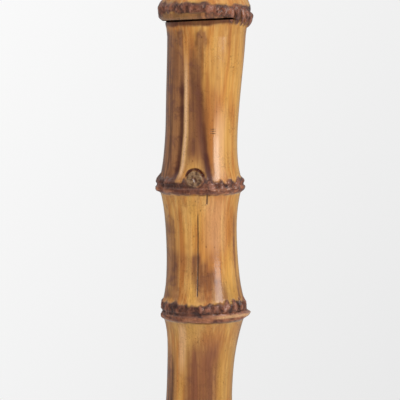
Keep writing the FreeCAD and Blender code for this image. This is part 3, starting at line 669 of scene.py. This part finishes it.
def branch_stub(culm):
    """Flat sawn face in a raised rim, with a crevice round its upper side; the crevice and the pit
    in the face's middle are darkened with painted shade.
    """
    z = culm.z[:, None]
    centre, height = BRANCH
    turn = np.radians(front - centre)
    across = turn * 23.0
    up = z - height
    away = np.hypot(across, 1.12 * up)
    rough = 0.35 * (ripple(5, 200, culm.z, 0.8) - 0.5)
    face = BRANCH_FACE / np.cos(turn) + rough
    blend = step(away, 4.9, 4.1)
    culm.radius = culm.radius * (1 - blend) + face * blend
    culm.radius += 0.55 * hump(away, 5.0, 1.1) * step(up, 2.0, -2.5)
    culm.radius += 0.4 * hump(away, 6.5, 1.0) * step(up, 1.5, -2.0)
    culm.radius -= 1.0 * hump(away, 5.0, 1.1) * step(up, -1.0, 2.0)
    pith = hump(np.hypot(across - 0.5, 0.8 * up + 0.6 * across + 0.2), 0.0, 1.5)
    culm.radius -= 0.8 * pith
    culm.paint(cut=step(away, 4.7, 4.1) * (1 - 0.85 * pith))
    # Painted shade in the pit.
    culm.paint(umber=pith)
    for name in ("ring", "top", "lip"):
        culm.masks[name] *= 1 - step(away, 6.0, 4.8) * step(up, -5.5, -4.0)
    rim = hump(away, 5.1, 1.3)
    culm.paint(scorch=0.8 * rim * step(up, 3.0, -2.0))
    # Painted shade in the crevice round the upper side.
    culm.paint(umber=rim * step(up, -1.0, 1.5))
    culm.paint(umber=0.9 * hump(away, 6.0, 0.9) * step(up, 2.0, -1.0))
    culm.paint(scorch=step(away, 8.0, 6.0) * step(up, 3.0, -2.0))


def first_internode_tones(culm, left, drift, burn):
    """Dark left side, a painted highlight stripe at the right and two scorched spots under the seam.
    """
    z = culm.z[:, None]
    side = step(front, left + 6, left + 1) * step(front, -130, -96)
    sides = side * within(z, 518, 522, JOINT - 10, JOINT + 3)
    culm.paint(scorch=sides * (0.76 + 0.7 * (drift - 0.45)))
    culm.paint(dusk=0.85 * side * within(z, 516, 522, 582, 594))
    # Painted highlight stripe at the right.
    culm.paint(pale=0.5 * hump(front, 30, 13) * within(z, 519, 524, 545, 562))
    speckle = ripple(47, 90, culm.z, 2.2) - 0.5
    for centre, height, wide, tall in ((-42, 593.4, 11, 3.0), (-9, 590.5, 9, 5.4)):
        away = np.hypot((front - centre) / wide, (z - height) / tall)
        spot = step(away + 0.5 * speckle + 0.5 * (burn - 0.5), 1.25, 0.45)
        culm.paint(ruddy=0.72 * spot)
        culm.paint(scorch=0.42 * spot)
    culm.paint(dusk=0.25 * within(front, 5, 25, 80, 100) * step(z, 572, 592))
    culm.paint(dusk=0.2 * hump(front, 12, 16) * within(z, 540, 556, 578, 592))


def second_internode_tones(culm, drift, patch, burn):
    """Dark far left, widest low down, and a ragged stain at the long crack's foot."""
    z = culm.z[:, None]
    middle = within(z, 459, 463, 498, 516)
    edge = -44 - 16 * (drift - 0.5) - 0.35 * (z - 475)
    far_left = step(front, edge + 7, edge - 7) * step(front, -130, -96)
    culm.paint(scorch=0.62 * far_left * middle)
    culm.paint(scorch=0.6 * hump(front, 66, 6) * middle)
    across = np.interp(z, [463, 470, 476, 481, 486], [15, 9, 1, -8, -10])
    wide = np.interp(z, [463, 470, 476, 481, 486], [34, 31, 22, 11, 6])
    stain = hump(front, across, wide) + 0.9 * (patch - 0.5) + 0.7 * (burn - 0.5)
    faint = (0.75 + 0.25 * step(z, 466, 474)) * within(z, 459, 463, 484, 488)
    culm.paint(dusk=0.72 * step(stain, -0.05, 0.35) * faint)
    culm.paint(scorch=0.52 * step(stain, 0.3, 0.65) * faint)
    culm.paint(olive=0.5 * hump(front, 36, 14) * within(z, 459, 463, 468, 474))
    # Painted highlight patch at the right.
    culm.paint(pale=0.3 * hump(front, 24, 26) * within(z, 480, 492, 508, 516))


def third_internode_tones(culm, drift, patch):
    """Dusky front, olive right, and a painted highlight stripe between the front and the dark far
    left.
    """
    z = culm.z[:, None]
    under = within(z, 395, 405, 422, 448)
    dusk = step(np.abs(front - 1 - 12 * (drift - 0.5)), 40, 12)
    culm.paint(dusk=0.95 * dusk * within(z, 395, 405, 434, 449))
    culm.paint(scorch=(0.42 + 0.4 * (patch - 0.3)) * dusk * under)
    culm.paint(olive=0.45 * step(front, 10, 40) * within(z, 395, 405, 464, 476))
    culm.paint(scorch=0.85 * within(front, -130, -96, -56, -44) * under)
    culm.paint(dusk=0.6 * within(front, -130, -96, -52, -40) * under)
    # Painted highlight stripe between the front and the dark far left.
    culm.paint(pale=0.5 * hump(front, -34, 9) * within(z, 420, 434, 446, 452))


def lower_tones(culm, left, streak):
    """Flame tones of the lower section: its front by internodes, loose marks elsewhere."""
    z = culm.z[:, None]
    drift = ripple(41, 30, culm.z, 40.0)
    patch = ripple(42, 12, culm.z, 24.0) * 0.6 + ripple(43, 26, culm.z, 11.0) * 0.4
    burn = ripple(44, 16, culm.z, 16.0)
    first_internode_tones(culm, left, drift, burn)
    second_internode_tones(culm, drift, patch, burn)
    third_internode_tones(culm, drift, patch)
    loose = step(patch + 0.25 * (drift - 0.5), 0.48, 0.64)
    rest = np.maximum(step(z, 400, 390), step(np.abs(front), 84, 104))
    culm.paint(scorch=0.95 * loose * rest)
    # Scorch and umber are kept off the painted highlight streak on the ridge.
    for name in ("scorch", "umber"):
        culm.masks[name] *= 1 - 0.95 * streak


def third_ring(culm):
    """Ring with broad bumps at its left, teeth at its right, a nub and a second lip with a painted
    highlight line.
    """
    z = culm.z[:, None]
    bumps = [(-80, 0.6, 2.2, 4.8, 0.8), (-60, 0.4, 2.6, 4.6, 0.7), (-40, 0.2, 3.2, 4.2, 0.5),
             (-20, 0.0, 3.0, 3.6, 0.3), (-5, 2.2, 1.8, 2.0, 0.9), (5, 2.0, 1.6, 1.8, 0.8),
             (17, 2.4, 2.4, 2.4, 1.1), (32, 2.8, 2.4, 2.8, 1.2), (46, 3.0, 2.2, 3.0, 1.2),
             (60, 3.0, 2.2, 3.4, 1.2), (76, 2.6, 2.6, 4.0, 1.1)]
    culm.node_ring(NODE_3, bumps, half=(4.6, 4.4), slope=(0.3, -20), clear=86, olive=0.5, fill=0.26)
    nub = hump(front, 82, 20) * hump(z, NODE_3 - 2.0, 2.2)
    culm.radius += 1.6 * nub
    culm.paint(ring=step(nub, 0.1, 0.4))
    lip = hump(z, NODE_3 - 1.5, 1.1) * within(front, -8, 12, 90, 120)
    culm.radius += 0.6 * lip
    # The top mask on the second lip gives it a painted highlight tint.
    culm.paint(lip=lip, top=lip)
    # Painted highlight line along the second lip.
    painted_lip_highlight = hump(z + 0.5 * (ripple(48, 30, culm.z, 6.0) - 0.5), NODE_3 - 2.2, 0.9)
    culm.paint(pale=0.7 * painted_lip_highlight * within(front, 8, 28, 80, 100))


def second_ring(culm):
    """Ring with two large dark lumps at its left, broken by the branch stub."""
    z = culm.z[:, None]
    bumps = [(-78, 0.9, 5.2, 4.6, 1.8), (-51, 0.6, 4.8, 4.6, 1.6), (-32, -1.2, 2.6, 2.0, 0.4),
             (14, 0.0, 2.6, 3.0, 1.1), (30, 0.6, 3.0, 3.3, 1.1), (46, 0.5, 2.6, 3.2, 0.9),
             (64, 0.9, 3.0, 4.0, 1.3), (84, 0.7, 4.0, 4.2, 1.4)]
    culm.node_ring(NODE_2, bumps, half=(3.6, 3.0), slope=(0.3, -20), clear=98, olive=0.15, fill=0.34)
    # Dims the painted highlights on the left bump tops, which deepens the painted shade between
    # them.
    culm.masks["top"] *= 1 - 0.6 * within(front, -114, -100, -44, -30) * hump(z, NODE_2, 9.0)


def seam_band(culm):
    """Thin band under the seam, barky behind, and red-brown in front: a stain darkened with painted
    shadow under the joint's overhang.
    """
    z = culm.z[:, None]
    edge = 1.6 * (ripple(45, 26, culm.z, 2.0) - 0.5)
    band = step(z + edge, 596.6, 598.6)
    culm.radius += 0.25 * band
    # Red-brown stain with painted shadow under the upper section's overhang.
    stain_and_shadow = band * within(front, -100, -92, 34, 50)
    culm.paint(ruddy=stain_and_shadow, umber=0.5 * stain_and_shadow)
    culm.paint(ring=band * step(np.abs(front), 88, 100))


def lower_pole(materials):
    """Lower section from its turned foot to the seam, with the joint's socket."""
    spans = [(447.0, 463.0, 0.5), (511.0, 530.0, 0.5), (530.0, 588.0, 2.0), (588.0, 601.0, 0.5)]
    culm = Culm(rows_between(FERRULE_TOP, JOINT, LOWER_NODES, 4.0, spans), 11)
    culm.waists([(0, 16.2), (390, 16.2), (400, 16.1), (430, 16.5), (456, 17.2), (475, 17.4),
                 (517, 17.1), (545, 17.8), (562, 18.5), (580, 19.2), (592, 19.6), (600, 20.5)])
    for node in LOWER_NODES[:-2]:
        culm.flare(node, 2.7, 6.5)
        culm.node_ring(node, [], half=(4.2, 4.6), slope=(0.5, node * 3.1))
    culm.flare(NODE_3, 5.0, 10.0, 3.3)
    culm.flare(NODE_2, 4.4, 10.0, 3.2)
    third_ring(culm)
    second_ring(culm)
    left, streak = branch_valleys(culm)
    branch_stub(culm)
    seam_band(culm)
    right_cluster(culm)
    lower_tones(culm, left, streak)
    culm.radius += 0.3 * (ripple(51, 9, culm.z, 60.0) - 0.5)
    seam_tilt(culm)
    grown = step(culm.z, FERRULE_TOP, FERRULE_TOP + 4.0)[:, None]
    culm.radius = culm.radius * grown + np.minimum(culm.radius, 16.5) * (1 - grown)
    wall = culm.points(culm.warp(LOWER_BEND))
    low = [(FOOT, FERRULE_TOP), (FOOT, 4.5)]
    high = [(19.4, SEAM - 0.1, SEAM_SLOPE), (SOCKET, SEAM - 0.1, SEAM_SLOPE),
            (SOCKET, SOCKET_END)]
    lathe("lower_culm", wall, low, high, materials, "lower_section", "lower_pole", culm.masks)


def first_ring(culm):
    """Ring over the seam: broken bumps in a dark band, over a smooth paler rim."""
    z = culm.z[:, None]
    bumps = [(-78, 605.8, 5.4, 4.4, 1.5), (-54, 606.3, 3.6, 2.8, 0.5), (-40, 606.2, 2.6, 2.4, 0.3),
             (-29, 606.6, 2.2, 2.4, 0.4), (-18, 605.4, 2.0, 2.2, 0.3), (-8, 606.2, 2.4, 2.4, 0.45),
             (5, 605.2, 2.4, 2.8, 0.6), (15, 604.4, 2.4, 3.2, 0.9), (26, 604.2, 2.6, 3.4, 1.1)]
    rng = np.random.default_rng(77)
    bumps += [(a + rng.uniform(-3, 3), 605 + rng.uniform(-2, 2), rng.uniform(2.2, 3.6),
               rng.uniform(2.6, 3.8), rng.uniform(0.6, 1.3)) for a in range(112, 282, 15)]
    pits = ripple(66, 110, culm.z, 1.5) * 0.6 + ripple(67, 64, culm.z, 2.2) * 0.4
    dome = culm.domes(bumps, 22.0) * (0.45 + 0.55 * step(pits, 0.3, 0.62))
    edge = z + 2.2 * (ripple(61, 44, culm.z, 2.5) - 0.5)
    crown = 608.6 - 2.0 * within(front, -20, 60, 100, 150)
    dark = within(edge, 603.2, 604.2, crown - 0.6, crown + 0.6)
    culm.paint(ring=np.maximum(dark, step(dome, 0.15, 0.5)))
    culm.radius += 1.1 * (pits - 0.5) * dark
    # Painted highlights on the bump tops; the floor of 0.34 keeps the painted shade between them
    # light.
    culm.paint(top=np.maximum(dome, 0.34 * dark))
    rim = step(z, 604.6, 603.4)
    culm.paint(olive=rim * step(front, 20, -10))
    culm.paint(scorch=0.4 * rim)
    culm.paint(dusk=0.5 * rim)
    culm.paint(scorch=0.85 * rim * step(front, -30, 4))


def upper_pole(materials):
    """Upper section from the seam to the shaved shaft in the woven head."""
    spans = [(600.0, 613.0, 0.5), (613.0, 640.0, 2.0), (1017.0, 1034.0, 0.9)]
    culm = Culm(rows_between(JOINT + 0.6, SHAVED, UPPER_NODES, 4.0, spans), 23)
    z = culm.z[:, None]
    culm.waists([(600, 21.3), (602, 22.3), (607, 22.3), (610, 21.2), (613, 20.4), (622, 19.2),
                 (640, 18.0), (690, 17.4), (1017, 16.6), (1026, 17.0)])
    for node in UPPER_NODES:
        culm.flare(node, 2.6, 6.5)
        culm.node_ring(node, [], half=(3.6, 3.8), slope=(0.5, node * 2.3))
    first_ring(culm)
    right_cluster(culm)
    drift = ripple(62, 30, culm.z, 40.0)
    patch = ripple(63, 12, culm.z, 26.0) * 0.6 + ripple(64, 26, culm.z, 12.0) * 0.4
    loose = step(patch + 0.25 * (drift - 0.5), 0.52, 0.68) * step(z, 612, 622)
    culm.paint(scorch=0.8 * loose)
    seam_tilt(culm)
    # The gap over the seam closes under the right cluster.
    closed = within(front, 34, 44, 108, 130)
    culm.lift += (0.4 - 1.02 * closed) * step(z, JOINT + 6, JOINT)
    straight = 1 - step(culm.z, SHAVED - 36, SHAVED)
    wall = culm.points([shift * straight for shift in culm.warp(UPPER_BEND)])
    low = [(19.6, SEAM + 0.6, SEAM_SLOPE), (18.2, SEAM + 0.6, SEAM_SLOPE),
           (18.0, SEAM - 0.08, SEAM_SLOPE), (DOWEL, SEAM - 0.08, SEAM_SLOPE)]
    high = [(SHAFT, SHAVED + 0.4), (SHAFT, POLE_TOP - 0.1)]
    lathe("upper_culm", wall, low, high, materials, "upper_section", "upper_pole", culm.masks)


flamed = [culm_material(), dark_end()]
lower_pole(flamed)
upper_pole(flamed + [shaved_culm()])


# ---- Other materials ----


def polar(g, radius):
    """Arc length at a radius round the pole, distance from its axis, and height."""
    angle, height = front_angle(g)
    return g.fill(g.add("ShaderNodeCombineXYZ"), g.times(angle, radius), g.away(), height)[0]


def fibrous(name, tones, stretch, radius=None, pitch=1200, shine=0.0, rough=0.6):
    """Wood, split cane or braid. Fibres run where stretch is small.

    Tones are dark fibre, two ground colours and a stain. With a radius, the texture
    follows the pole's circumference.
    """
    g = Graph(name)
    place = g.scaled(stretch, polar(g, radius) if radius else None)
    fibre = g.noise(place, pitch, 4, 0.6)
    wide = g.noise(place, pitch / 6, 3, 0.55)
    blotch = g.noise(g.place, 70, 4, 0.6, 0.5)
    tone = g.mix(g.fit(wide, 0.38, 0.62), tones[1], tones[2])
    tone = g.mix(g.fit(fibre, 0.52, 0.7, 0, 0.75), tone, tones[0])
    tone = g.mix(g.fit(blotch, 0.52, 0.7, 0, 0.6), tone, tones[3])
    g.bump(g.times(fibre, 0.6, g.times(wide, 0.6)), 0.5, 0.0003)
    g.set(Base_Color=tone, Roughness=g.fit(blotch, 0.3, 0.7, rough - 0.08, rough + 0.12),
          Specular_IOR_Level=0.35, Coat_Weight=shine, Coat_Roughness=0.2)
    return g.material


def metal(name, clean, dull, rust, wear=0.5, rough=(0.22, 0.5), spangle=0.0):
    """Sheet or turned metal with tarnish, fine scratches and a few corroded spots."""
    g = Graph(name)
    cloud = g.noise(g.place, 60, 5, 0.62, 0.5)
    small = g.noise(g.place, 420, 4, 0.6)
    tone = g.mix(g.fit(cloud, 0.62 - 0.3 * wear, 0.72), clean, dull)
    plates = g.spots(g.place, 130, give="Color")
    shade = g.fill(g.add("ShaderNodeSeparateColor"), plates)[0]
    tone = g.mix(g.times(shade, spangle), tone, dull)
    spots = g.times(g.fit(small, 0.6, 0.7), g.fit(cloud, 0.5, 0.62))
    tone = g.mix(g.times(spots, 0.75), tone, rust)
    lines = g.noise(g.scaled((1, 1, 0.08), g.bent(0.001, 90)), 1500, 2)
    scratch = g.fit(g.apart(lines, 0.5), 0.02, 0.004)
    g.bump(g.math("SUBTRACT", g.times(small, 0.3), g.times(scratch, 0.3)),
           0.15, 0.0001)
    matt = g.math("ADD", g.fit(cloud, 0.35, 0.68, *rough), g.times(scratch, 0.08))
    g.set(Base_Color=tone, Metallic=g.times(spots, -0.7, 1.0), Roughness=matt)
    return g.material


def spike_paint():
    """Black enamel, chipped to rusty steel towards the tip, with dried soil on it."""
    g = Graph("spike_paint")
    height = g.parts(g.place)[2]
    chips = g.noise(g.place, 240, 5, 0.62, 0.8)
    worn = g.fit(height, 0.01, -0.23, 0.0, 0.14)
    bare = g.fit(g.math("ADD", chips, worn), 0.64, 0.67)
    rust = g.mix(g.noise(g.place, 900, 3), (126, 66, 36), (72, 48, 40))
    tone = g.mix(bare, g.mix(chips, (24, 24, 26), (40, 40, 42)), rust)
    soil = g.times(g.fit(g.noise(g.place, 110, 5, 0.7), 0.48, 0.62),
                  g.fit(height, -0.005, -0.04, 0, 0.7))
    tone = g.mix(soil, tone, (112, 88, 64))
    g.bump(g.math("SUBTRACT", g.times(soil, 0.5), bare), 0.5, 0.0004)
    g.set(Base_Color=tone, Roughness=g.fit(g.math("MAXIMUM", bare, soil), 0, 1, 0.3, 0.85),
          Specular_IOR_Level=0.5)
    return g.material


def rubber():
    """Dusty black gasket rubber."""
    g = Graph("gasket_rubber")
    dust = g.noise(g.place, 500, 4, 0.6)
    tone = g.mix(g.fit(dust, 0.45, 0.7), (22, 22, 24), (66, 62, 58))
    g.bump(dust, 0.3, 0.0001)
    g.set(Base_Color=tone, Roughness=g.fit(dust, 0.3, 0.7, 0.55, 0.8))
    return g.material


def braid():
    """Cotton braid, clean in the canister and charred at its top."""
    g = Graph("wick_braid")
    across, _, height = g.parts(polar(g, 0.0045))
    along = g.times(height, 2800)
    lean = g.times(across, 1780)
    one = g.math("SINE", g.math("ADD", along, lean))
    two = g.math("SINE", g.math("SUBTRACT", along, lean))
    weave = g.math("MAXIMUM", one, two)
    thread = g.noise(g.place, 2600, 3)
    soot = g.fit(g.times(thread, 0.004, height), 1.302, 1.3065)
    tone = g.mix(g.fit(weave, -0.2, 0.9), (146, 126, 96), (226, 212, 184))
    tone = g.mix(g.fit(thread, 0.4, 0.7, 0, 0.4), tone, (176, 152, 116))
    tone = g.mix(soot, tone, g.mix(thread, (16, 14, 13), (58, 50, 44)))
    g.bump(g.times(thread, 0.4, weave), 0.8, 0.0004)
    g.set(Base_Color=tone, Roughness=0.92, Specular_IOR_Level=0.1)
    return g.material


# ---- Cane and wick ----


def smooth_piece(name, points, material, body, node, closed=True):
    """Mesh over a grid of points in metres, wrapped round the second way.

    A closed grid is also wrapped the first way; otherwise each end gets a cap.
    """
    count, around = points.shape[:2]
    faces = quads(count, around, count if closed else count - 1)
    if not closed:
        faces += [list(range(around))[::-1], list(range((count - 1) * around, count * around))]
    mesh = bpy.data.meshes.new(name)
    mesh.from_pydata(points.reshape(-1, 3).tolist(), [], faces)
    mesh.materials.append(material)
    mesh.shade_smooth()
    mesh.set_sharp_from_angle(angle=math.radians(50))
    piece = added(name, mesh)
    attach(piece, body)
    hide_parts(node)


def spun(r, turn, z):
    """Points at radii and angles round the axis, at heights."""
    return np.stack(np.broadcast_arrays(r * np.cos(turn), r * np.sin(turn), z), axis=-1)


def weft(number, material):
    """Cane band woven round the splints, placed from its packed box.

    Neighbouring bands pass each splint on opposite sides, and all lean out with them.
    """
    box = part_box(f"weft_band_{number + 1}")
    low = box[0][2] / MM
    middle = box[1][0] / MM - 3.0
    lean = 0.22 if number < 6 else 0.09
    turn = np.linspace(0, 2 * math.pi, 16 * 24, endpoint=False)
    wave = np.cos(8 * turn + math.pi * (number % 2))
    wave = np.sign(wave) * np.abs(wave) ** 0.55
    rng = np.random.default_rng(300 + number)
    sway = 0.25 * np.sin(turn * 3 + rng.uniform(0, 6)) + 0.15 * np.sin(turn * 5 + rng.uniform(0, 6))
    section = [(-0.5, 0.3), (-0.5, 6.7), (-0.3, 7.0), (0.3, 7.0), (0.5, 6.7), (0.5, 0.3),
               (0.3, 0.0), (-0.3, 0.0)]
    rows = [spun(middle + 2.5 * wave + out + lean * (up - 3.5), turn, low + up + sway)
            for out, up in section]
    smooth_piece(f"weft_{number + 1}", np.stack(rows, axis=1) * MM, material, "upper_section",
                 f"weft_band_{number + 1}")


def rattan_wrap(material):
    """Eight turns of rattan bound tight round the splints' feet."""
    low, high, pitch, inside = 1036.0, 1070.0, 4.25, 19.9
    turn = np.linspace(0, 2 * math.pi, 128, endpoint=False)
    z = np.linspace(low, high, 121)
    phase = (z[:, None] - low) / pitch + turn / (2 * math.pi)
    strand = np.sqrt(np.abs(np.sin(math.pi * phase)) + 0.02)
    outer = 20.6 + 2.1 * strand * within(z, low, low + 0.8, high - 0.8, high)[:, None]
    rings = zip([inside, *outer, inside], [low, *z, high])
    points = np.stack([spun(r, turn, height) for r, height in rings])
    smooth_piece("rattan_wrap", points * MM, material, "upper_section", "pole_binding")


def wick_cord(material):
    """Braided wick, with its weave modelled where it stands out of the tube."""
    hidden = [1164.8, 1165.4] + list(np.arange(1172.0, 1296.0, 8.0))
    shown = list(np.arange(1297.0, 1306.4, 0.4))
    turn = np.linspace(0, 2 * math.pi, 96, endpoint=False)
    z = np.array(hidden + shown)[:, None]
    weave = np.maximum(np.sin(2.8 * z + 8 * turn), np.sin(2.8 * z - 8 * turn))
    burnt = 0.5 * step(z, 1303.5, 1306.5)
    ends = step(z, 1164.6, 1165.4)
    r = (4.25 + 0.3 * weave * step(z, 1298, 1301)) * (0.85 + 0.15 * ends) - burnt
    smooth_piece("wick_cord", spun(r, turn, z) * MM, material, "wick", "wick",
                 closed=False)


def dress(names, material):
    """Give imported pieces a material."""
    for name in names:
        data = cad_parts[name].data
        data.materials.clear()
        data.materials.append(material)


# Tones are dark fibre, two ground colours and a stain, as fibrous takes them.
splint_tones = ((128, 88, 44), (190, 148, 88), (208, 168, 106), (146, 102, 58))
splints = [f"splint_{i:02d}" for i in range(1, 17)]
dress(splints, fibrous("split_bamboo", splint_tones, (1, 1, 0.02), shine=0.35, rough=0.45))
weft_tones = ((150, 108, 58), (206, 168, 108), (222, 190, 134), (176, 132, 78))
weft_cane = fibrous("weft_bamboo", weft_tones, (0.02, 1, 1), radius=0.03, rough=0.5, shine=0.2)
for number in range(9):
    weft(number, weft_cane)
hoop_tones = ((96, 60, 30), (158, 112, 62), (180, 132, 76), (120, 78, 42))
dress(["rim_hoop_inner", "rim_hoop_outer"],
      fibrous("hoop_bamboo", hoop_tones, (0.02, 1, 1), radius=0.048, rough=0.42, shine=0.4))
rattan_tones = ((92, 56, 28), (168, 120, 66), (188, 142, 84), (120, 76, 40))
rattan_wrap(fibrous("rattan", rattan_tones, (0.03, 1, 1), radius=0.021, pitch=1600, shine=0.3,
                    rough=0.45))
dowel_tones = ((170, 128, 82), (212, 180, 134), (222, 194, 150), (188, 146, 98))
dress(["joint_dowel", "foot_plug"], fibrous("dowel_wood", dowel_tones, (1, 1, 0.03)))
seat_tones = ((142, 92, 50), (190, 142, 88), (204, 158, 102), (132, 88, 52))
dress(["seat_disc"], fibrous("seat_wood", seat_tones, (1, 0.04, 1), pitch=900))
dress(["ground_spike"], spike_paint())
dress(["foot_ferrule", "ferrule_brads", "rim_brads"],
      metal("ferrule_brass", (196, 158, 88), (128, 94, 50), (84, 74, 52), 0.7))
dress(["seat_screw", "hinge_pin", "snuffer_bracket", "snuffer_strap"],
      metal("fastener_steel", (178, 180, 180), (120, 120, 118), (110, 70, 46), 0.4))
dress(["canister_base", "canister_wall", "canister_lid", "filler_neck"],
      metal("tinplate", (196, 198, 198), (142, 142, 138), (122, 82, 54), 0.5, (0.2, 0.42), 0.35))
dress(["burner_plate", "wick_tube", "screw_collar", "snuffer_cup", "snuffer_rivet"],
      metal("burner_brass", (208, 172, 98), (142, 106, 56), (70, 52, 38), 0.5))
dress(["cap_gasket"], rubber())
wick_cord(braid())


# ---- Stage ----


def world_light():
    """Pale backdrop for the camera; soft light, stronger from the right, for the pole."""
    world = bpy.data.worlds.new("studio")
    bpy.context.scene.world = world
    world.use_nodes = True
    tree = world.node_tree
    tree.nodes.clear()

    def add(kind, **inputs):
        node = tree.nodes.new(kind)
        for index, value in inputs.items():
            socket = node.inputs[int(index[1:])]
            if isinstance(value, bpy.types.NodeSocket):
                tree.links.new(value, socket)
            else:
                socket.default_value = value
        return node

    way = add("ShaderNodeTexCoord").outputs["Generated"]
    slope = add("ShaderNodeVectorMath", _0=way, _1=(-0.4, 0.0, 0.29))
    slope.operation = "DOT_PRODUCT"
    backdrop = add("ShaderNodeMapRange", _0=slope.outputs["Value"], _1=-0.12, _2=0.04, _3=0.79,
                   _4=0.951).outputs[0]
    parts = add("ShaderNodeSeparateXYZ", _0=way).outputs
    side = add("ShaderNodeMapRange", _0=parts[0], _1=-0.9, _2=0.7, _3=0.8, _4=0.54)
    path = add("ShaderNodeLightPath").outputs
    high = add("ShaderNodeMapRange", _0=parts[2], _1=0.15, _2=0.8, _3=0.24, _4=1.0).outputs[0]
    soft = add("ShaderNodeMix", _0=path["Is Glossy Ray"], _2=side.outputs[0], _3=high)
    level = add("ShaderNodeMix", _0=path["Is Camera Ray"], _2=soft.outputs[0], _3=backdrop)
    back = add("ShaderNodeBackground", _0=level.outputs[0])
    add("ShaderNodeOutputWorld", _0=back.outputs[0])


def softbox(name, place, aim, size, radiance, colour, mirrored=True):
    """Rectangular lamp with a given radiance, unseen by the camera, mirrored or not."""
    data = bpy.data.lights.new(name, "AREA")
    data.shape = "RECTANGLE"
    data.size, data.size_y = size
    data.energy = radiance * math.pi * size[0] * size[1]
    data.color = colour
    lamp = added(name, data)
    lamp.location = place
    way = Vector(aim) - Vector(place)
    lamp.rotation_euler = way.to_track_quat("-Z", "Y").to_euler()
    lamp.visible_camera = False
    lamp.visible_glossy = mirrored


def stage_floor():
    """Pale disc under the spike's tip that fades out into the surround."""
    low, reach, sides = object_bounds()[0][2] - 0.001, 4.0, 64
    mesh = bpy.data.meshes.new("floor")
    turns = [2 * math.pi * side / sides for side in range(sides)]
    rim = [(reach * math.cos(turn), reach * math.sin(turn), low) for turn in turns]
    mesh.from_pydata(rim, [], [list(range(sides))])
    floor = added("floor", mesh)
    g = Graph("floor")
    g.set(Base_Color=(0.8, 0.8, 0.8, 1), Roughness=0.7, Alpha=g.fit(g.away(), 2.9, 0.5))
    mesh.materials.append(g.material)


def camera():
    """Long lens level with the joint, a metre in front of the pole."""
    data = bpy.data.cameras.new("camera")
    data.lens = 180.7
    data.clip_end = 100
    view = added("camera", data)
    place, aim = Vector((-0.0012, -1.0, 0.604)), Vector((-0.0012, 0, 0.510))
    view.location = place
    view.rotation_euler = (aim - place).to_track_quat("-Z", "Y").to_euler()
    bpy.context.scene.camera = view


world_light()
softbox("key_right", (1.08, -0.96, 0.95), (0, 0, 0.55), (0.6, 1.05), 6.5, (1, 0.97, 0.93))
softbox("fill_left", (-1.2, -0.8, 0.9), (0, 0, 0.52), (0.3, 1.0), 2.4, (0.98, 0.98, 1), False)
stage_floor()
camera()
bpy.context.scene.view_settings.view_transform = "Standard"
